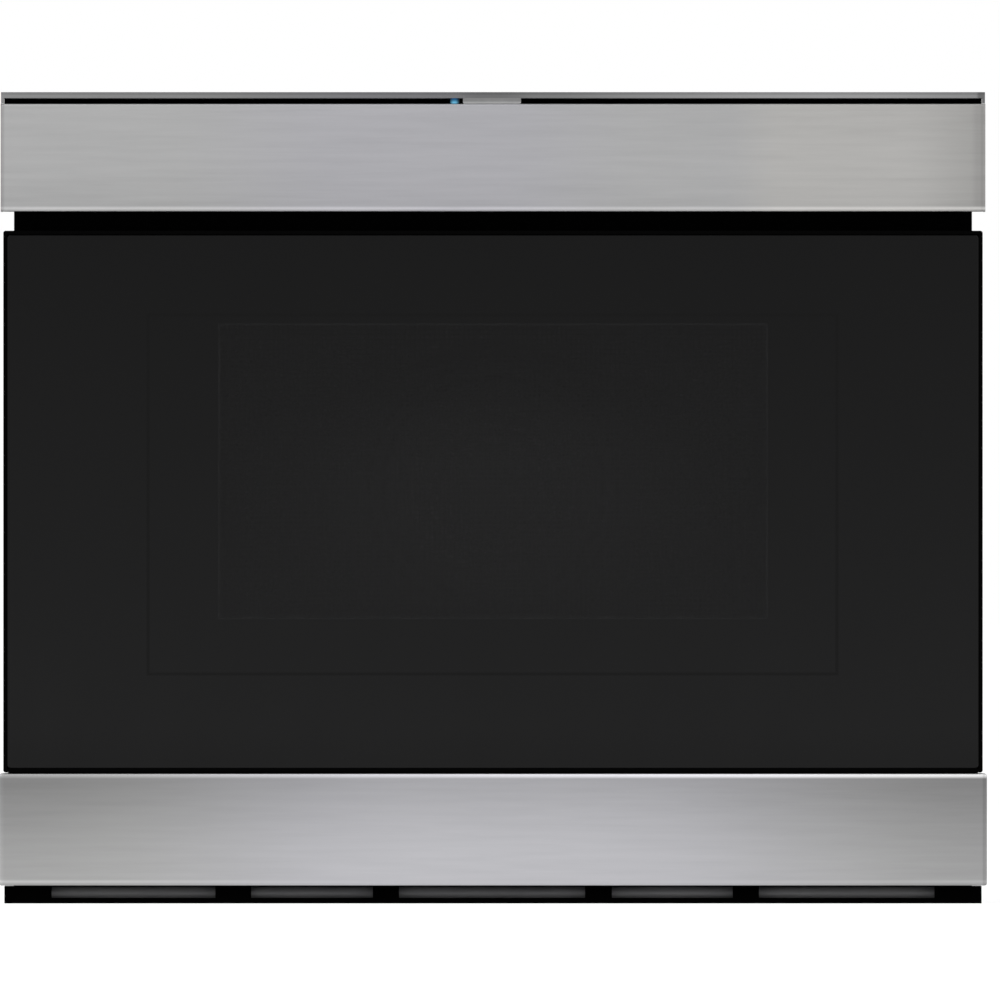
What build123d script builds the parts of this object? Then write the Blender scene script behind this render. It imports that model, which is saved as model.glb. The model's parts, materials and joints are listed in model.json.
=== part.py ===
from build123d import *
from math import atan, cos, pi, radians, sin, tan
import os

os.makedirs("parts", exist_ok=True)

# A 24 inch built-in microwave drawer. Millimetres, +Z up, the front looks along -Y.
# The origin is the middle of the bounding box's bottom.

# ---- front, from the floor of the cut-out upwards ----
strip_height = 10.5  # black vent strip under the drawer
strip_gap = 0.5
panel_height = 68.8  # stainless panel under the glass
panel_seam = 0.6
glass_height = 332.6
swing_gap = 11.7  # room for the control pod's bottom edge when it tilts
fascia_height = 66.3
sensor_gap = 3.4
trim_height = 3.7

front_width = 606.4
fascia_inset = 0.95  # each from the ends of the front's full width
trim_inset = 1.2
glass_inset = 2.6
strip_inset = 3.2
frame_inset = 8.7
chassis_inset = 30.2

# ---- front to back ----
overall_depth = 594.0
front_projection = 48.0  # drawer front ahead of the cabinet's face
machine_room = 116.8  # from the cavity's rear wall to the chassis's back
gland_proud = 8.0

# ---- sheets and plates ----
sheet = 1.2
thin_sheet = 1.0
glass_thick = 4.0
inner_glass_thick = 3.0
moulding = 2.2  # plastic walls

# ---- oven cavity and drawer tub ----
side_room = 50.6  # between the cavity's sides and the chassis's
attic_height = 112.0  # from the cavity's ceiling to the chassis's top
cavity_floor_z = 130.0
cavity_corner = 8.0
tub_side_gap = 6.0
tub_floor_gap = 6.0
tub_back_gap = 25.8
tub_height = 120.0
tub_rear_height = 50.0
tub_wall = 1.5
ceramic_thick = 4.0
tub_left_inside = 20.0  # of the tub, when the drawer is fully open

# ---- window, from the cavity's sides, floor and ceiling ----
window_side = 52.0
window_below = 45.4
window_above = 14.6

# ---- chassis ----
chassis_drop = 15.1  # top cover below the front frame's top
skid_height = 14.0
base_flange = 26.0
side_screw_front = 69.0
side_screw_pitch = 180.0
rear_screw_side = 73.0
low_screw_rise = 14.0
top_screw_drop = 9.0

# ---- telescopic rails ----
rail_rise = 92.5  # middle above the cavity's floor
rail_height = 45.0
rail_width = 12.7
rail_setback = 4.0
rail_overhang = 34.0  # behind the cavity
rail_sheet = 1.5
bracket_depth = 23.8
ball_radius = 1.5
ball_play = 0.15
balls_in_cage = 8
ball_pitch = 24.0

# ---- rack drive ----
gear_module = 1.5
pinion_teeth = 16
pressure_angle = 20.0
backlash = 0.24
rack_width = 12.0
rack_body = 6.6
rack_drop = 42.0  # tooth tips below the cavity's floor
pinion_behind = 34.0  # behind the cabinet's face

# ---- control pod ----
pod_axis_behind = 16.0  # hinge axis behind the fascia's face
pod_axis_above = 6.3  # and above its bottom edge
pod_depth = 44.0
touch_slope = 13.0
touch_thick = 3.0
pin_radius = 2.5
running_fit = 0.05
pod_end_gap = 32.25  # housing short of the fascia's ends
bracket_gap = 4.1
bracket_width = 6.0
bracket_knuckle = 7.5

# ---- fasteners ----
screw_shank = 1.9
screw_head = 3.8
screw_head_height = 1.8
screw_fit = 0.1
mount_hole = 2.75
mount_edge = 6.5
mount_low_z = 120.0
mount_high_z = 380.0

# ---- levels and planes worked out from the sizes above ----
panel_bottom = strip_height + strip_gap
panel_top = panel_bottom + panel_height
glass_bottom = panel_top + panel_seam
glass_top = glass_bottom + glass_height
fascia_bottom = glass_top + swing_gap
fascia_top = fascia_bottom + fascia_height
trim_bottom = fascia_top + sensor_gap
trim_top = trim_bottom + trim_height

fascia_width = front_width - 2 * fascia_inset
trim_width = front_width - 2 * trim_inset
glass_width = front_width - 2 * glass_inset
strip_width = front_width - 2 * strip_inset
frame_width = front_width - 2 * frame_inset
chassis_width = front_width - 2 * chassis_inset
cavity_width = chassis_width - 2 * (side_room + 2 * sheet)
cavity_side = cavity_width / 2 + sheet

front_y = -overall_depth / 2
back_y = overall_depth / 2
cabinet_y = front_y + front_projection
frame_y = cabinet_y - sheet
panel_back_y = back_y - gland_proud
chassis_back_y = panel_back_y - sheet
cavity_back_y = chassis_back_y - machine_room
cavity_depth = cavity_back_y - cabinet_y

base_z = skid_height
floor_z = base_z + sheet
frame_top = trim_top - thin_sheet
chassis_top = frame_top - chassis_drop
cavity_top_z = chassis_top - attic_height
cavity_height = cavity_top_z - cavity_floor_z
cavity_mid_z = cavity_floor_z + cavity_height / 2
roof_z = cavity_top_z + sheet

window_width = cavity_width - 2 * window_side
window_height = cavity_height - window_below - window_above
window_z = cavity_floor_z + window_below + window_height / 2

rail_z = cavity_floor_z + rail_rise
rail_inset = cavity_side + bracket_depth
rail_front = cabinet_y + rail_setback
rail_length = cavity_back_y + rail_overhang - rail_front
rack_tip_z = cavity_floor_z - rack_drop
pinion_y = cabinet_y + pinion_behind
mount_x = frame_width / 2 - mount_edge

side_screw_ys = [cabinet_y + side_screw_front + n * side_screw_pitch for n in range(3)]
rear_screw_x = chassis_width / 2 - rear_screw_side
rear_screw_xs = (-rear_screw_x, 0, rear_screw_x)
low_screw_z = base_z + low_screw_rise
top_screw_z = chassis_top - top_screw_drop


def block(x0, x1, y0, y1, z0, z1, mode=Mode.ADD):
    """A box between two corners, in the part that is being built."""
    with Locations(((x0 + x1) / 2, (y0 + y1) / 2, (z0 + z1) / 2)):
        Box(x1 - x0, y1 - y0, z1 - z0, mode=mode)


def both_sides(x0, x1, y0, y1, z0, z1, mode=Mode.ADD):
    """The same box at the right and, mirrored, at the left."""
    block(x0, x1, y0, y1, z0, z1, mode)
    block(-x1, -x0, y0, y1, z0, z1, mode)


def rod(x, y, z, radius, length, along, mode=Mode.ADD):
    """A round bar that starts at a point and runs along X, Y or Z."""
    turns = {"x": (0, 90, 0), "y": (-90, 0, 0), "z": (0, 0, 0)}
    start = (Align.CENTER, Align.CENTER, Align.MIN)
    with Locations((x, y, z)):
        Cylinder(radius, length, rotation=turns[along], align=start, mode=mode)


# ======== fixed frame ========

# Black flange plate that screws to the cabinet's face.
tray_sheet = 1.5
arm_x = rail_inset + rail_width + 0.5  # inner face of the drawer arms
arm_sheet = 2.0
slot_inner = rail_inset + 1.5
slot_outer = arm_x + arm_sheet + 2.8
slot_height = rail_height + 1.0
rack_slot_width = rack_width + 4.0
rack_top = rack_tip_z + rack_body + 2.25 * gear_module
latch_z = (fascia_bottom + fascia_top) / 2 - 3
latch_size = 24.0
vent_pitch = 22.0
vent_rise = 24.0
trim_end = 1.6  # width of the trim's ends, which reach down to the fascia
ear_clear = 0.2
ear_half = trim_width / 2 - trim_end - 2 * ear_clear
ear_height = 12.0
with BuildPart() as front_frame:
    with BuildSketch(Plane.XZ.offset(-cabinet_y)):
        with Locations((0, (tray_sheet + frame_top) / 2)):
            Rectangle(frame_width, frame_top - tray_sheet)
        with Locations((0, frame_top - ear_height / 2)):
            Rectangle(2 * ear_half, ear_height)
        with Locations((0, cavity_mid_z)):
            RectangleRounded(cavity_width, cavity_height, cavity_corner, mode=Mode.SUBTRACT)
        with Locations(*[(side * (slot_inner + slot_outer) / 2, rail_z) for side in (-1, 1)]):
            Rectangle(slot_outer - slot_inner, slot_height, mode=Mode.SUBTRACT)
        with Locations((0, (rack_tip_z + rack_top) / 2)):
            Rectangle(rack_slot_width, rack_top - rack_tip_z + 5, mode=Mode.SUBTRACT)
        with Locations(*[(s * mount_x, z) for s in (-1, 1) for z in (mount_low_z, mount_high_z)]):
            Circle(mount_hole, mode=Mode.SUBTRACT)
        with Locations((0, latch_z)):
            Rectangle(latch_size + 0.6, latch_size + 0.6, mode=Mode.SUBTRACT)
        with Locations((0, base_z + vent_rise)):
            with GridLocations(vent_pitch, 1, 20, 1):
                SlotOverall(18, 6, rotation=90, mode=Mode.SUBTRACT)
    extrude(amount=sheet)
front_frame.part.label = "front_frame"
export_step(front_frame.part, "parts/front_frame.step")

# Stainless trim over the control pod: a folded cap whose ends reach down to the fascia.
trim_front_y = front_y + 1.0
trim_end_gap = 0.3
trim_end_depth = 20.0
with BuildPart() as top_trim:
    block(-trim_width / 2, trim_width / 2, trim_front_y, cabinet_y, trim_bottom, trim_top)
    both_sides(trim_width / 2 - trim_end, trim_width / 2, trim_front_y,
               trim_front_y + trim_end_depth, fascia_top + trim_end_gap, trim_top)
    fillet(top_trim.edges().filter_by(Axis.X).group_by(Axis.Y)[0].sort_by(Axis.Z)[-1], 0.8)
    inner = trim_width / 2 - trim_end
    block(-inner, inner, trim_front_y + thin_sheet, frame_y - thin_sheet, trim_bottom - 1,
          trim_top - thin_sheet, Mode.SUBTRACT)
    block(-ear_half - ear_clear, ear_half + ear_clear, frame_y, cabinet_y + 1, trim_bottom - 1,
          trim_top - thin_sheet, Mode.SUBTRACT)
top_trim.part.label = "top_trim"
export_step(top_trim.part, "parts/top_trim.step")

# Lens of the motion sensor that opens the drawer, in the middle of the trim.
lens_x = -0.6
lens_width = 35.6
lens_depth = 12.0
lens_clear = 0.4
with BuildPart() as motion_sensor_lens:
    block(lens_x - lens_width / 2, lens_x + lens_width / 2, trim_front_y, trim_front_y + lens_depth,
          fascia_top + lens_clear, trim_bottom)
    fillet(motion_sensor_lens.edges().filter_by(Axis.Y).group_by(Axis.Z)[0], 1.2)
    block(lens_x - 16, lens_x + 16, trim_front_y + thin_sheet, trim_front_y + lens_depth,
          trim_bottom, trim_top - thin_sheet)
motion_sensor_lens.part.label = "motion_sensor_lens"
export_step(motion_sensor_lens.part, "parts/motion_sensor_lens.step")

# Light pipe of the status light, left of the lens.
led_x = -23.3
led_radius = 1.5
led_z = fascia_top + 0.3 + led_radius
with BuildPart() as status_light:
    rod(led_x, trim_front_y, led_z, led_radius, 12, "y")
    block(led_x - 1.2, led_x + 1.2, trim_front_y + 4, trim_front_y + 10, led_z, trim_top - thin_sheet)
status_light.part.label = "status_light"
export_step(status_light.part, "parts/status_light.step")

# Black strip along the bottom, with five openings for the cooling air.
strip_front_y = front_y + 7.0
strip_bar = 3.4
rib_depth = 6.0
strip_end = 29.0
with BuildPart() as vent_strip:
    half = strip_width / 2
    slots = [(-half + strip_end, -170.5), (-148.5, -73.7), (-57.7, 56.5), (73.0, 147.2),
             (163.3, half - strip_end)]
    block(-half, half, strip_front_y, cabinet_y, 0, tray_sheet)
    block(-half, half, strip_front_y, strip_front_y + rib_depth, 0, strip_height)
    both_sides(half - moulding, half, strip_front_y, frame_y, 0, strip_height)
    block(-half, half, frame_y - tray_sheet, frame_y, 0, strip_height)
    for left, right in slots:
        block(left, right, strip_front_y - 1, strip_front_y + rib_depth + 1, strip_bar,
              strip_height + 1, Mode.SUBTRACT)
vent_strip.part.label = "vent_strip"
export_step(vent_strip.part, "parts/vent_strip.step")

# Bright bowed baffle that shows through the strip's openings.
baffle_y = strip_front_y + rib_depth + 8.0
baffle_bow = 3.6
baffle_top = strip_height - 0.3
baffle_mid = (tray_sheet + baffle_top) / 2
with BuildPart() as vent_baffle:
    with BuildSketch(Plane.YZ.offset(-strip_width / 2 + 4)):
        with BuildLine():
            face = ThreePointArc((baffle_y, tray_sheet), (baffle_y - baffle_bow, baffle_mid),
                                 (baffle_y, baffle_top))
            rear = ThreePointArc((baffle_y + sheet, tray_sheet),
                                 (baffle_y - baffle_bow + sheet, baffle_mid),
                                 (baffle_y + sheet, baffle_top))
            Line(face @ 0, rear @ 0)
            Line(face @ 1, rear @ 1)
        make_face()
    extrude(amount=strip_width - 8)
vent_baffle.part.label = "vent_baffle"
export_step(vent_baffle.part, "parts/vent_baffle.step")

# ======== chassis ========

base_half = chassis_width / 2 - sheet - 0.2
with BuildPart() as base_pan:
    block(-base_half, base_half, cabinet_y, chassis_back_y, base_z, base_z + base_flange)
    block(-base_half + sheet, base_half - sheet, cabinet_y + sheet, chassis_back_y - sheet,
          floor_z, base_z + base_flange + 1, Mode.SUBTRACT)
    for x in (-base_half, base_half):
        for y in side_screw_ys:
            rod(x - 5, y, low_screw_z, screw_shank + screw_fit, 10, "x", Mode.SUBTRACT)
    for x in rear_screw_xs:
        rod(x, chassis_back_y - 5, low_screw_z, screw_shank + screw_fit, 10, "y", Mode.SUBTRACT)
    with Locations((0, pinion_y + 125, base_z)):
        with GridLocations(60, 24, 4, 5):
            Box(40, 6, 10, mode=Mode.SUBTRACT)
base_pan.part.label = "base_pan"
export_step(base_pan.part, "parts/base_pan.step")

# Two hat-section runners that the chassis slides in on.
skid_x = chassis_width / 2 - 68.0
skid_width = 34.0
skid_sheet = 1.5
with BuildPart() as base_skids:
    for x in (-skid_x, skid_x):
        y0 = cabinet_y + 10
        y1 = chassis_back_y - 10
        block(x - skid_width / 2, x + skid_width / 2, y0, y1, 0, skid_height)
        inner = skid_width / 2 - skid_sheet
        block(x - inner, x + inner, y0 - 1, y1 + 1, skid_sheet, skid_height + 1, Mode.SUBTRACT)
        for side in (-1, 1):
            edge = x + side * skid_width / 2
            block(min(edge, edge + side * 10), max(edge, edge + side * 10), y0, y1,
                  skid_height - skid_sheet, skid_height)
base_skids.part.label = "base_skids"
export_step(base_skids.part, "parts/base_skids.step")

# Outer cover: two sides and the top, with louvres and a flange behind.
wrap_half = chassis_width / 2
wrap_lip = 16.0
wrap_bend = 3.0
louvre_z = chassis_top - 62.0
louvre_y = chassis_back_y - 97.8
with BuildPart() as outer_wrap:
    block(-wrap_half, wrap_half, cabinet_y, chassis_back_y, base_z + 2, chassis_top)
    fillet(outer_wrap.edges().filter_by(Axis.Y).group_by(Axis.Z)[-1], wrap_bend)
    inner = wrap_half - sheet
    block(-inner, inner, cabinet_y - 1, chassis_back_y - sheet, base_z, chassis_top - sheet,
          Mode.SUBTRACT)
    hollow = outer_wrap.edges().filter_by(Axis.Y).group_by(Axis.X)
    fillet([hollow[n].sort_by(Axis.Z)[-1] for n in (1, -2)], wrap_bend - sheet)
    block(-inner, inner, chassis_back_y - sheet - 1, chassis_back_y + 1, base_z,
          chassis_top - wrap_lip, Mode.SUBTRACT)
    for y in side_screw_ys:
        rod(-wrap_half - 5, y, low_screw_z, screw_shank + screw_fit, chassis_width + 10, "x",
            Mode.SUBTRACT)
    for x in rear_screw_xs:
        rod(x, chassis_back_y - 5, top_screw_z, screw_shank + screw_fit, 10, "y", Mode.SUBTRACT)
    with Locations((0, louvre_y, louvre_z)):
        with GridLocations(1, 12, 1, 10):
            Box(chassis_width + 10, 5, 46, mode=Mode.SUBTRACT)
outer_wrap.part.label = "outer_wrap"
export_step(outer_wrap.part, "parts/outer_wrap.step")

# Back panel, with the fan's grille, an outlet and the cord's hole.
fan_x = chassis_width / 2 - 103.0
fan_z = chassis_top - 64.0
outlet_x = -130.0
gland_x = 53.0 - chassis_width / 2
gland_z = base_z + 48.0
gland_body = 8.0
with BuildPart() as back_panel:
    with BuildSketch(Plane.XZ.offset(-panel_back_y)):
        with Locations((0, (base_z + chassis_top) / 2)):
            Rectangle(chassis_width, chassis_top - base_z)
        with Locations((gland_x, gland_z)):
            Circle(gland_body, mode=Mode.SUBTRACT)
        with Locations((fan_x, fan_z)):
            for ring, count in ((14, 6), (24, 12), (34, 18), (44, 24)):
                with PolarLocations(ring, count):
                    Circle(3.2, mode=Mode.SUBTRACT)
        with Locations((outlet_x, fan_z)):
            with GridLocations(12, 1, 12, 1):
                SlotOverall(44, 5, rotation=90, mode=Mode.SUBTRACT)
        with Locations(*[(x, z) for x in rear_screw_xs for z in (low_screw_z, top_screw_z)]):
            Circle(screw_shank + screw_fit, mode=Mode.SUBTRACT)
    extrude(amount=sheet)
back_panel.part.label = "back_panel"
export_step(back_panel.part, "parts/back_panel.step")

# Strain relief bushing for the supply cord, with its open bore.
cord_bore = 3.6
with BuildPart() as cord_gland:
    rod(gland_x, chassis_back_y - 8, gland_z, gland_body - running_fit, 10 + sheet, "y")
    rod(gland_x, panel_back_y, gland_z, 12.5, 3.5, "y")
    rod(gland_x, panel_back_y, gland_z, 8.5, gland_proud, "y")
    fillet(cord_gland.edges().filter_by(GeomType.CIRCLE).group_by(Axis.Y)[-1], 1.5)
    rod(gland_x, chassis_back_y - 20, gland_z, cord_bore, 60, "y", Mode.SUBTRACT)
cord_gland.part.label = "cord_gland"
export_step(cord_gland.part, "parts/cord_gland.step")

# ======== oven cavity ========

stirrer_y = cabinet_y + 229.0
roof_hole_radius = 58.0
fan_centre_z = cavity_mid_z + 5.0
wall_hole_radius = 92.0
lamp_y = cabinet_y + 99.0
lamp_z = cavity_top_z - 40.0
lamp_hole_radius = 15.0
with BuildPart() as oven_cavity:
    with BuildSketch(Plane.XZ.offset(-cavity_back_y - sheet)):
        with Locations((0, cavity_mid_z)):
            RectangleRounded(cavity_width + 2 * sheet, cavity_height + 2 * sheet,
                             cavity_corner + sheet)
    extrude(amount=cavity_depth + sheet)
    with BuildSketch(Plane.XZ.offset(-cavity_back_y)):
        with Locations((0, cavity_mid_z)):
            RectangleRounded(cavity_width, cavity_height, cavity_corner)
    extrude(amount=cavity_depth, mode=Mode.SUBTRACT)
    rod(0, stirrer_y, cavity_top_z - 5, roof_hole_radius, 10, "z", Mode.SUBTRACT)
    rod(0, cavity_back_y - 5, fan_centre_z, wall_hole_radius, 10, "y", Mode.SUBTRACT)
    rod(cavity_width / 2 - 5, lamp_y, lamp_z, lamp_hole_radius, 10, "x", Mode.SUBTRACT)
oven_cavity.part.label = "oven_cavity"
export_step(oven_cavity.part, "parts/oven_cavity.step")

# Legs that carry the cavity's rear on the base pan.
leg_y = cavity_back_y - 51.0
leg_x = cavity_width / 2 - 70.0
with BuildPart() as cavity_legs:
    for x in (-leg_x, leg_x):
        block(x - 20, x + 20, leg_y - 20, leg_y + 20, floor_z, floor_z + sheet)
        block(x - 20, x + 20, leg_y - 20, leg_y + 20, cavity_floor_z - 2 * sheet,
              cavity_floor_z - sheet)
        block(x - sheet, x + sheet, leg_y - 20, leg_y + 20, floor_z, cavity_floor_z - sheet)
cavity_legs.part.label = "cavity_legs"
export_step(cavity_legs.part, "parts/cavity_legs.step")

# Pressed cover over the convection fan, with rings of slots and raised beads.
cover_half = 149.0
cover_below = 83.0  # from the fan's centre to the cover's bottom
cover_shoulder = 43.0
cover_above = 78.7
cover_depth = 6.0
cover_sheet = 0.8
cover_round = 3.0
bead_radii = (22.0, 60.0, 87.0)
bead_half = 1.2
bead_proud = 1.2


def cover_outline(inset):
    """The cover's outline, with straight sides and a low arch, pulled in by an inset."""
    half = cover_half - inset
    low = fan_centre_z - cover_below + inset
    shoulder = fan_centre_z + cover_shoulder
    with BuildLine() as outline:
        Polyline((-half, shoulder), (-half, low), (half, low), (half, shoulder))
        ThreePointArc((half, shoulder), (0, fan_centre_z + cover_above - inset),
                      (-half, shoulder))
    make_face(outline.edges())


with BuildPart() as cover_hollow:
    with BuildSketch(Plane.XZ.offset(-cavity_back_y)):
        cover_outline(cover_sheet)
    extrude(amount=cover_depth - cover_sheet)
    fillet(cover_hollow.edges().group_by(Axis.Y)[0], cover_round - cover_sheet)

with BuildPart() as convection_cover:
    with BuildSketch(Plane.XZ.offset(-cavity_back_y)):
        cover_outline(0)
    extrude(amount=cover_depth)
    fillet(convection_cover.edges().group_by(Axis.Y)[0], cover_round)
    add(cover_hollow.part, mode=Mode.SUBTRACT)
    with BuildSketch(Plane.XZ.offset(-cavity_back_y + cover_depth + 1)):
        with Locations((0, fan_centre_z)):
            for ring, count in ((30, 12), (40, 16), (50, 20), (69, 28), (78, 32)):
                with PolarLocations(ring, count):
                    SlotOverall(11, 3.4, rotation=90)
    extrude(amount=-3, mode=Mode.SUBTRACT)
    with BuildSketch(Plane.XZ.offset(-cavity_back_y + cover_depth - cover_sheet / 2)):
        cover_outline(2 * cover_round)
        with BuildSketch(mode=Mode.INTERSECT):
            with Locations((0, fan_centre_z)):
                for ring in bead_radii:
                    Circle(ring + bead_half)
                    Circle(ring - bead_half, mode=Mode.SUBTRACT)
    extrude(amount=bead_proud + cover_sheet / 2)
convection_cover.part.label = "convection_cover"
export_step(convection_cover.part, "parts/convection_cover.step")

# Drum behind the rear wall that holds the fan and its heater.
drum_radius = 100.0
drum_depth = 50.0
drum_y = cavity_back_y + sheet
heater_ring = 80.0
heater_rod = 3.2
heater_y = drum_y + 24.0
heater_turn = 340.0
motor_shaft = 3.0
heater_ends = [(heater_ring * cos(radians(a)), -heater_ring * sin(radians(a)))
               for a in (0, heater_turn)]
with BuildPart() as convection_housing:
    rod(0, drum_y, fan_centre_z, drum_radius, drum_depth, "y")
    rod(0, drum_y, fan_centre_z, drum_radius + 9, thin_sheet, "y")
    rod(0, drum_y - 1, fan_centre_z, drum_radius - thin_sheet, drum_depth - thin_sheet + 1, "y",
        Mode.SUBTRACT)
    rod(0, drum_y, fan_centre_z, 2 * motor_shaft, drum_depth + 5, "y", Mode.SUBTRACT)
    for dx, dz in heater_ends:
        rod(dx, drum_y, fan_centre_z + dz, heater_rod + screw_fit, drum_depth + 5, "y",
            Mode.SUBTRACT)
convection_housing.part.label = "convection_housing"
export_step(convection_housing.part, "parts/convection_housing.step")

with BuildPart() as convection_heater:
    with BuildSketch(Plane.XY.offset(fan_centre_z)):
        with Locations((heater_ring, heater_y)):
            Circle(heater_rod)
    revolve(axis=Axis((0, 0, fan_centre_z), (0, 1, 0)), revolution_arc=heater_turn)
    for dx, dz in heater_ends:
        rod(dx, heater_y, fan_centre_z + dz, heater_rod, drum_y + drum_depth + 14 - heater_y, "y")
        with Locations((dx, heater_y, fan_centre_z + dz)):
            Sphere(heater_rod)
convection_heater.part.label = "convection_heater"
export_step(convection_heater.part, "parts/convection_heater.step")

# Fan wheel of the convection drum, on the motor's shaft.
wheel_radius = 62.0
wheel_y = drum_y + 8.0
wheel_depth = 24.0
wheel_blades = 10
motor_y = drum_y + drum_depth
with BuildPart() as convection_fan:
    rod(0, wheel_y, fan_centre_z, 10, wheel_depth, "y")
    rod(0, wheel_y + wheel_depth - thin_sheet, fan_centre_z, wheel_radius, thin_sheet, "y")
    rod(0, wheel_y, fan_centre_z, motor_shaft, motor_y + 20 - wheel_y, "y")
    with Locations(Plane(origin=(0, wheel_y + wheel_depth / 2, fan_centre_z), z_dir=(0, 1, 0))):
        with PolarLocations((wheel_radius + 9) / 2, wheel_blades):
            Box(wheel_radius - 9, thin_sheet, wheel_depth)
convection_fan.part.label = "convection_fan"
export_step(convection_fan.part, "parts/convection_fan.step")

with BuildPart() as convection_motor:
    block(-38, 38, motor_y, motor_y + 2, fan_centre_z - 38, fan_centre_z + 38)
    rod(0, motor_y, fan_centre_z, 31, 38, "y")
    fillet(convection_motor.edges().filter_by(GeomType.CIRCLE).group_by(Axis.Y)[-1], 4)
    rod(0, motor_y - 1, fan_centre_z, motor_shaft + running_fit, 23, "y", Mode.SUBTRACT)
    for dx, dz in heater_ends:
        rod(dx, motor_y - 1, fan_centre_z + dz, heater_rod + 2, 60, "y", Mode.SUBTRACT)
convection_motor.part.label = "convection_motor"
export_step(convection_motor.part, "parts/convection_motor.step")

# ======== microwave feed ========

guide_half = 66.0
guide_front = stirrer_y - guide_half
guide_height = 40.0
guide_top = roof_z + guide_height
magnetron_y = stirrer_y + 108.0
guide_back = magnetron_y + 44.0
stirrer_shaft = 2.5
with BuildPart() as waveguide:
    block(-guide_half - 10, guide_half + 10, guide_front - 10, guide_back + 10, roof_z,
          roof_z + sheet)
    block(-guide_half, guide_half, guide_front, guide_back, roof_z, guide_top)
    block(-guide_half + sheet, guide_half - sheet, guide_front + sheet, guide_back - sheet,
          roof_z - 1, guide_top - sheet, Mode.SUBTRACT)
    rod(0, stirrer_y, guide_top - 5, 2 * stirrer_shaft, 10, "z", Mode.SUBTRACT)
    rod(0, magnetron_y, guide_top - 5, 13, 10, "z", Mode.SUBTRACT)
waveguide.part.label = "waveguide"
export_step(waveguide.part, "parts/waveguide.step")

# Plate that keeps splashes out of the stirrer, hung on four posts.
shield_drop = 3.0
with BuildPart() as stirrer_cover:
    rod(0, stirrer_y, cavity_top_z - shield_drop - 2, roof_hole_radius + 14, 2, "z")
    with Locations((0, stirrer_y, cavity_top_z - shield_drop / 2)):
        with PolarLocations(roof_hole_radius + 8, 4):
            Cylinder(3, shield_drop)
stirrer_cover.part.label = "stirrer_cover"
export_step(stirrer_cover.part, "parts/stirrer_cover.step")

stirrer_z = roof_z + 6.0
with BuildPart() as stirrer_fan:
    rod(0, stirrer_y, stirrer_z, 8, 8, "z")
    rod(0, stirrer_y, stirrer_z, stirrer_shaft, guide_top + 10 - stirrer_z, "z")
    with Locations((0, stirrer_y, stirrer_z + 4)):
        with PolarLocations(28, 4):
            Box(44, 26, thin_sheet, rotation=(18, 0, 0))
stirrer_fan.part.label = "stirrer_fan"
export_step(stirrer_fan.part, "parts/stirrer_fan.step")

with BuildPart() as stirrer_motor:
    rod(0, stirrer_y, guide_top, 25, 16, "z")
    fillet(stirrer_motor.edges().filter_by(GeomType.CIRCLE).group_by(Axis.Z)[-1], 2)
    block(-33, 33, stirrer_y - 7, stirrer_y + 7, guide_top, guide_top + 1.5)
    rod(0, stirrer_y, guide_top - 1, stirrer_shaft + running_fit, 13, "z", Mode.SUBTRACT)
stirrer_motor.part.label = "stirrer_motor"
export_step(stirrer_motor.part, "parts/stirrer_motor.step")

# Magnetron: yoke, fins round the core, aerial below and the filter box behind.
yoke_half = 45.0
yoke_headroom = 12.8
yoke_height = chassis_top - yoke_headroom - guide_top
fin_count = 8
fin_pitch = (yoke_height - 19.6) / fin_count
with BuildPart() as magnetron:
    block(-yoke_half, yoke_half, magnetron_y - 36, magnetron_y + 36, guide_top, guide_top + 2)
    both_sides(yoke_half - 2, yoke_half, magnetron_y - 36, magnetron_y + 36, guide_top,
               guide_top + yoke_height)
    block(-yoke_half, yoke_half, magnetron_y - 36, magnetron_y + 36, guide_top + yoke_height - 2,
          guide_top + yoke_height)
    rod(0, magnetron_y, guide_top, 17, yoke_height, "z")
    for n in range(fin_count):
        z = guide_top + 12 + n * fin_pitch
        block(-yoke_half + 1, yoke_half - 1, magnetron_y - 31, magnetron_y + 31, z, z + 0.8)
    rod(0, magnetron_y, guide_top - 26, 8, 26, "z")
    block(-22, 22, magnetron_y + 30, magnetron_y + 64, guide_top + 14,
          guide_top + yoke_height - 6)
magnetron.part.label = "magnetron"
export_step(magnetron.part, "parts/magnetron.step")

# High-voltage transformer: iron core, two coils and its foot plate.
iron_x = 70.0 - cavity_width / 2
iron_y = chassis_back_y - 72.8
with BuildPart() as power_transformer:
    block(iron_x - 55, iron_x + 55, iron_y - 34, iron_y + 34, floor_z, floor_z + 2)
    block(iron_x - 46, iron_x + 46, iron_y - 28, iron_y + 28, floor_z + 2, floor_z + 78)
    with BuildSketch(Plane.XY.offset(floor_z + 18)):
        with Locations((iron_x, iron_y)):
            RectangleRounded(62, 104, 12)
    extrude(amount=44)
power_transformer.part.label = "power_transformer"
export_step(power_transformer.part, "parts/power_transformer.step")

capacitor_x = -iron_x
with BuildPart() as hv_capacitor:
    with BuildSketch(Plane.XY.offset(floor_z)):
        with Locations((capacitor_x, iron_y)):
            SlotOverall(92, 52)
    extrude(amount=92)
    fillet(hv_capacitor.faces().sort_by(Axis.Z)[-1].edges(), 3)
    for dx in (-18, 18):
        rod(capacitor_x + dx, iron_y, floor_z + 90, 6, 10, "z")
        block(capacitor_x + dx - 3, capacitor_x + dx + 3, iron_y - 0.4, iron_y + 0.4,
              floor_z + 98, floor_z + 112)
hv_capacitor.part.label = "hv_capacitor"
export_step(hv_capacitor.part, "parts/hv_capacitor.step")

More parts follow.
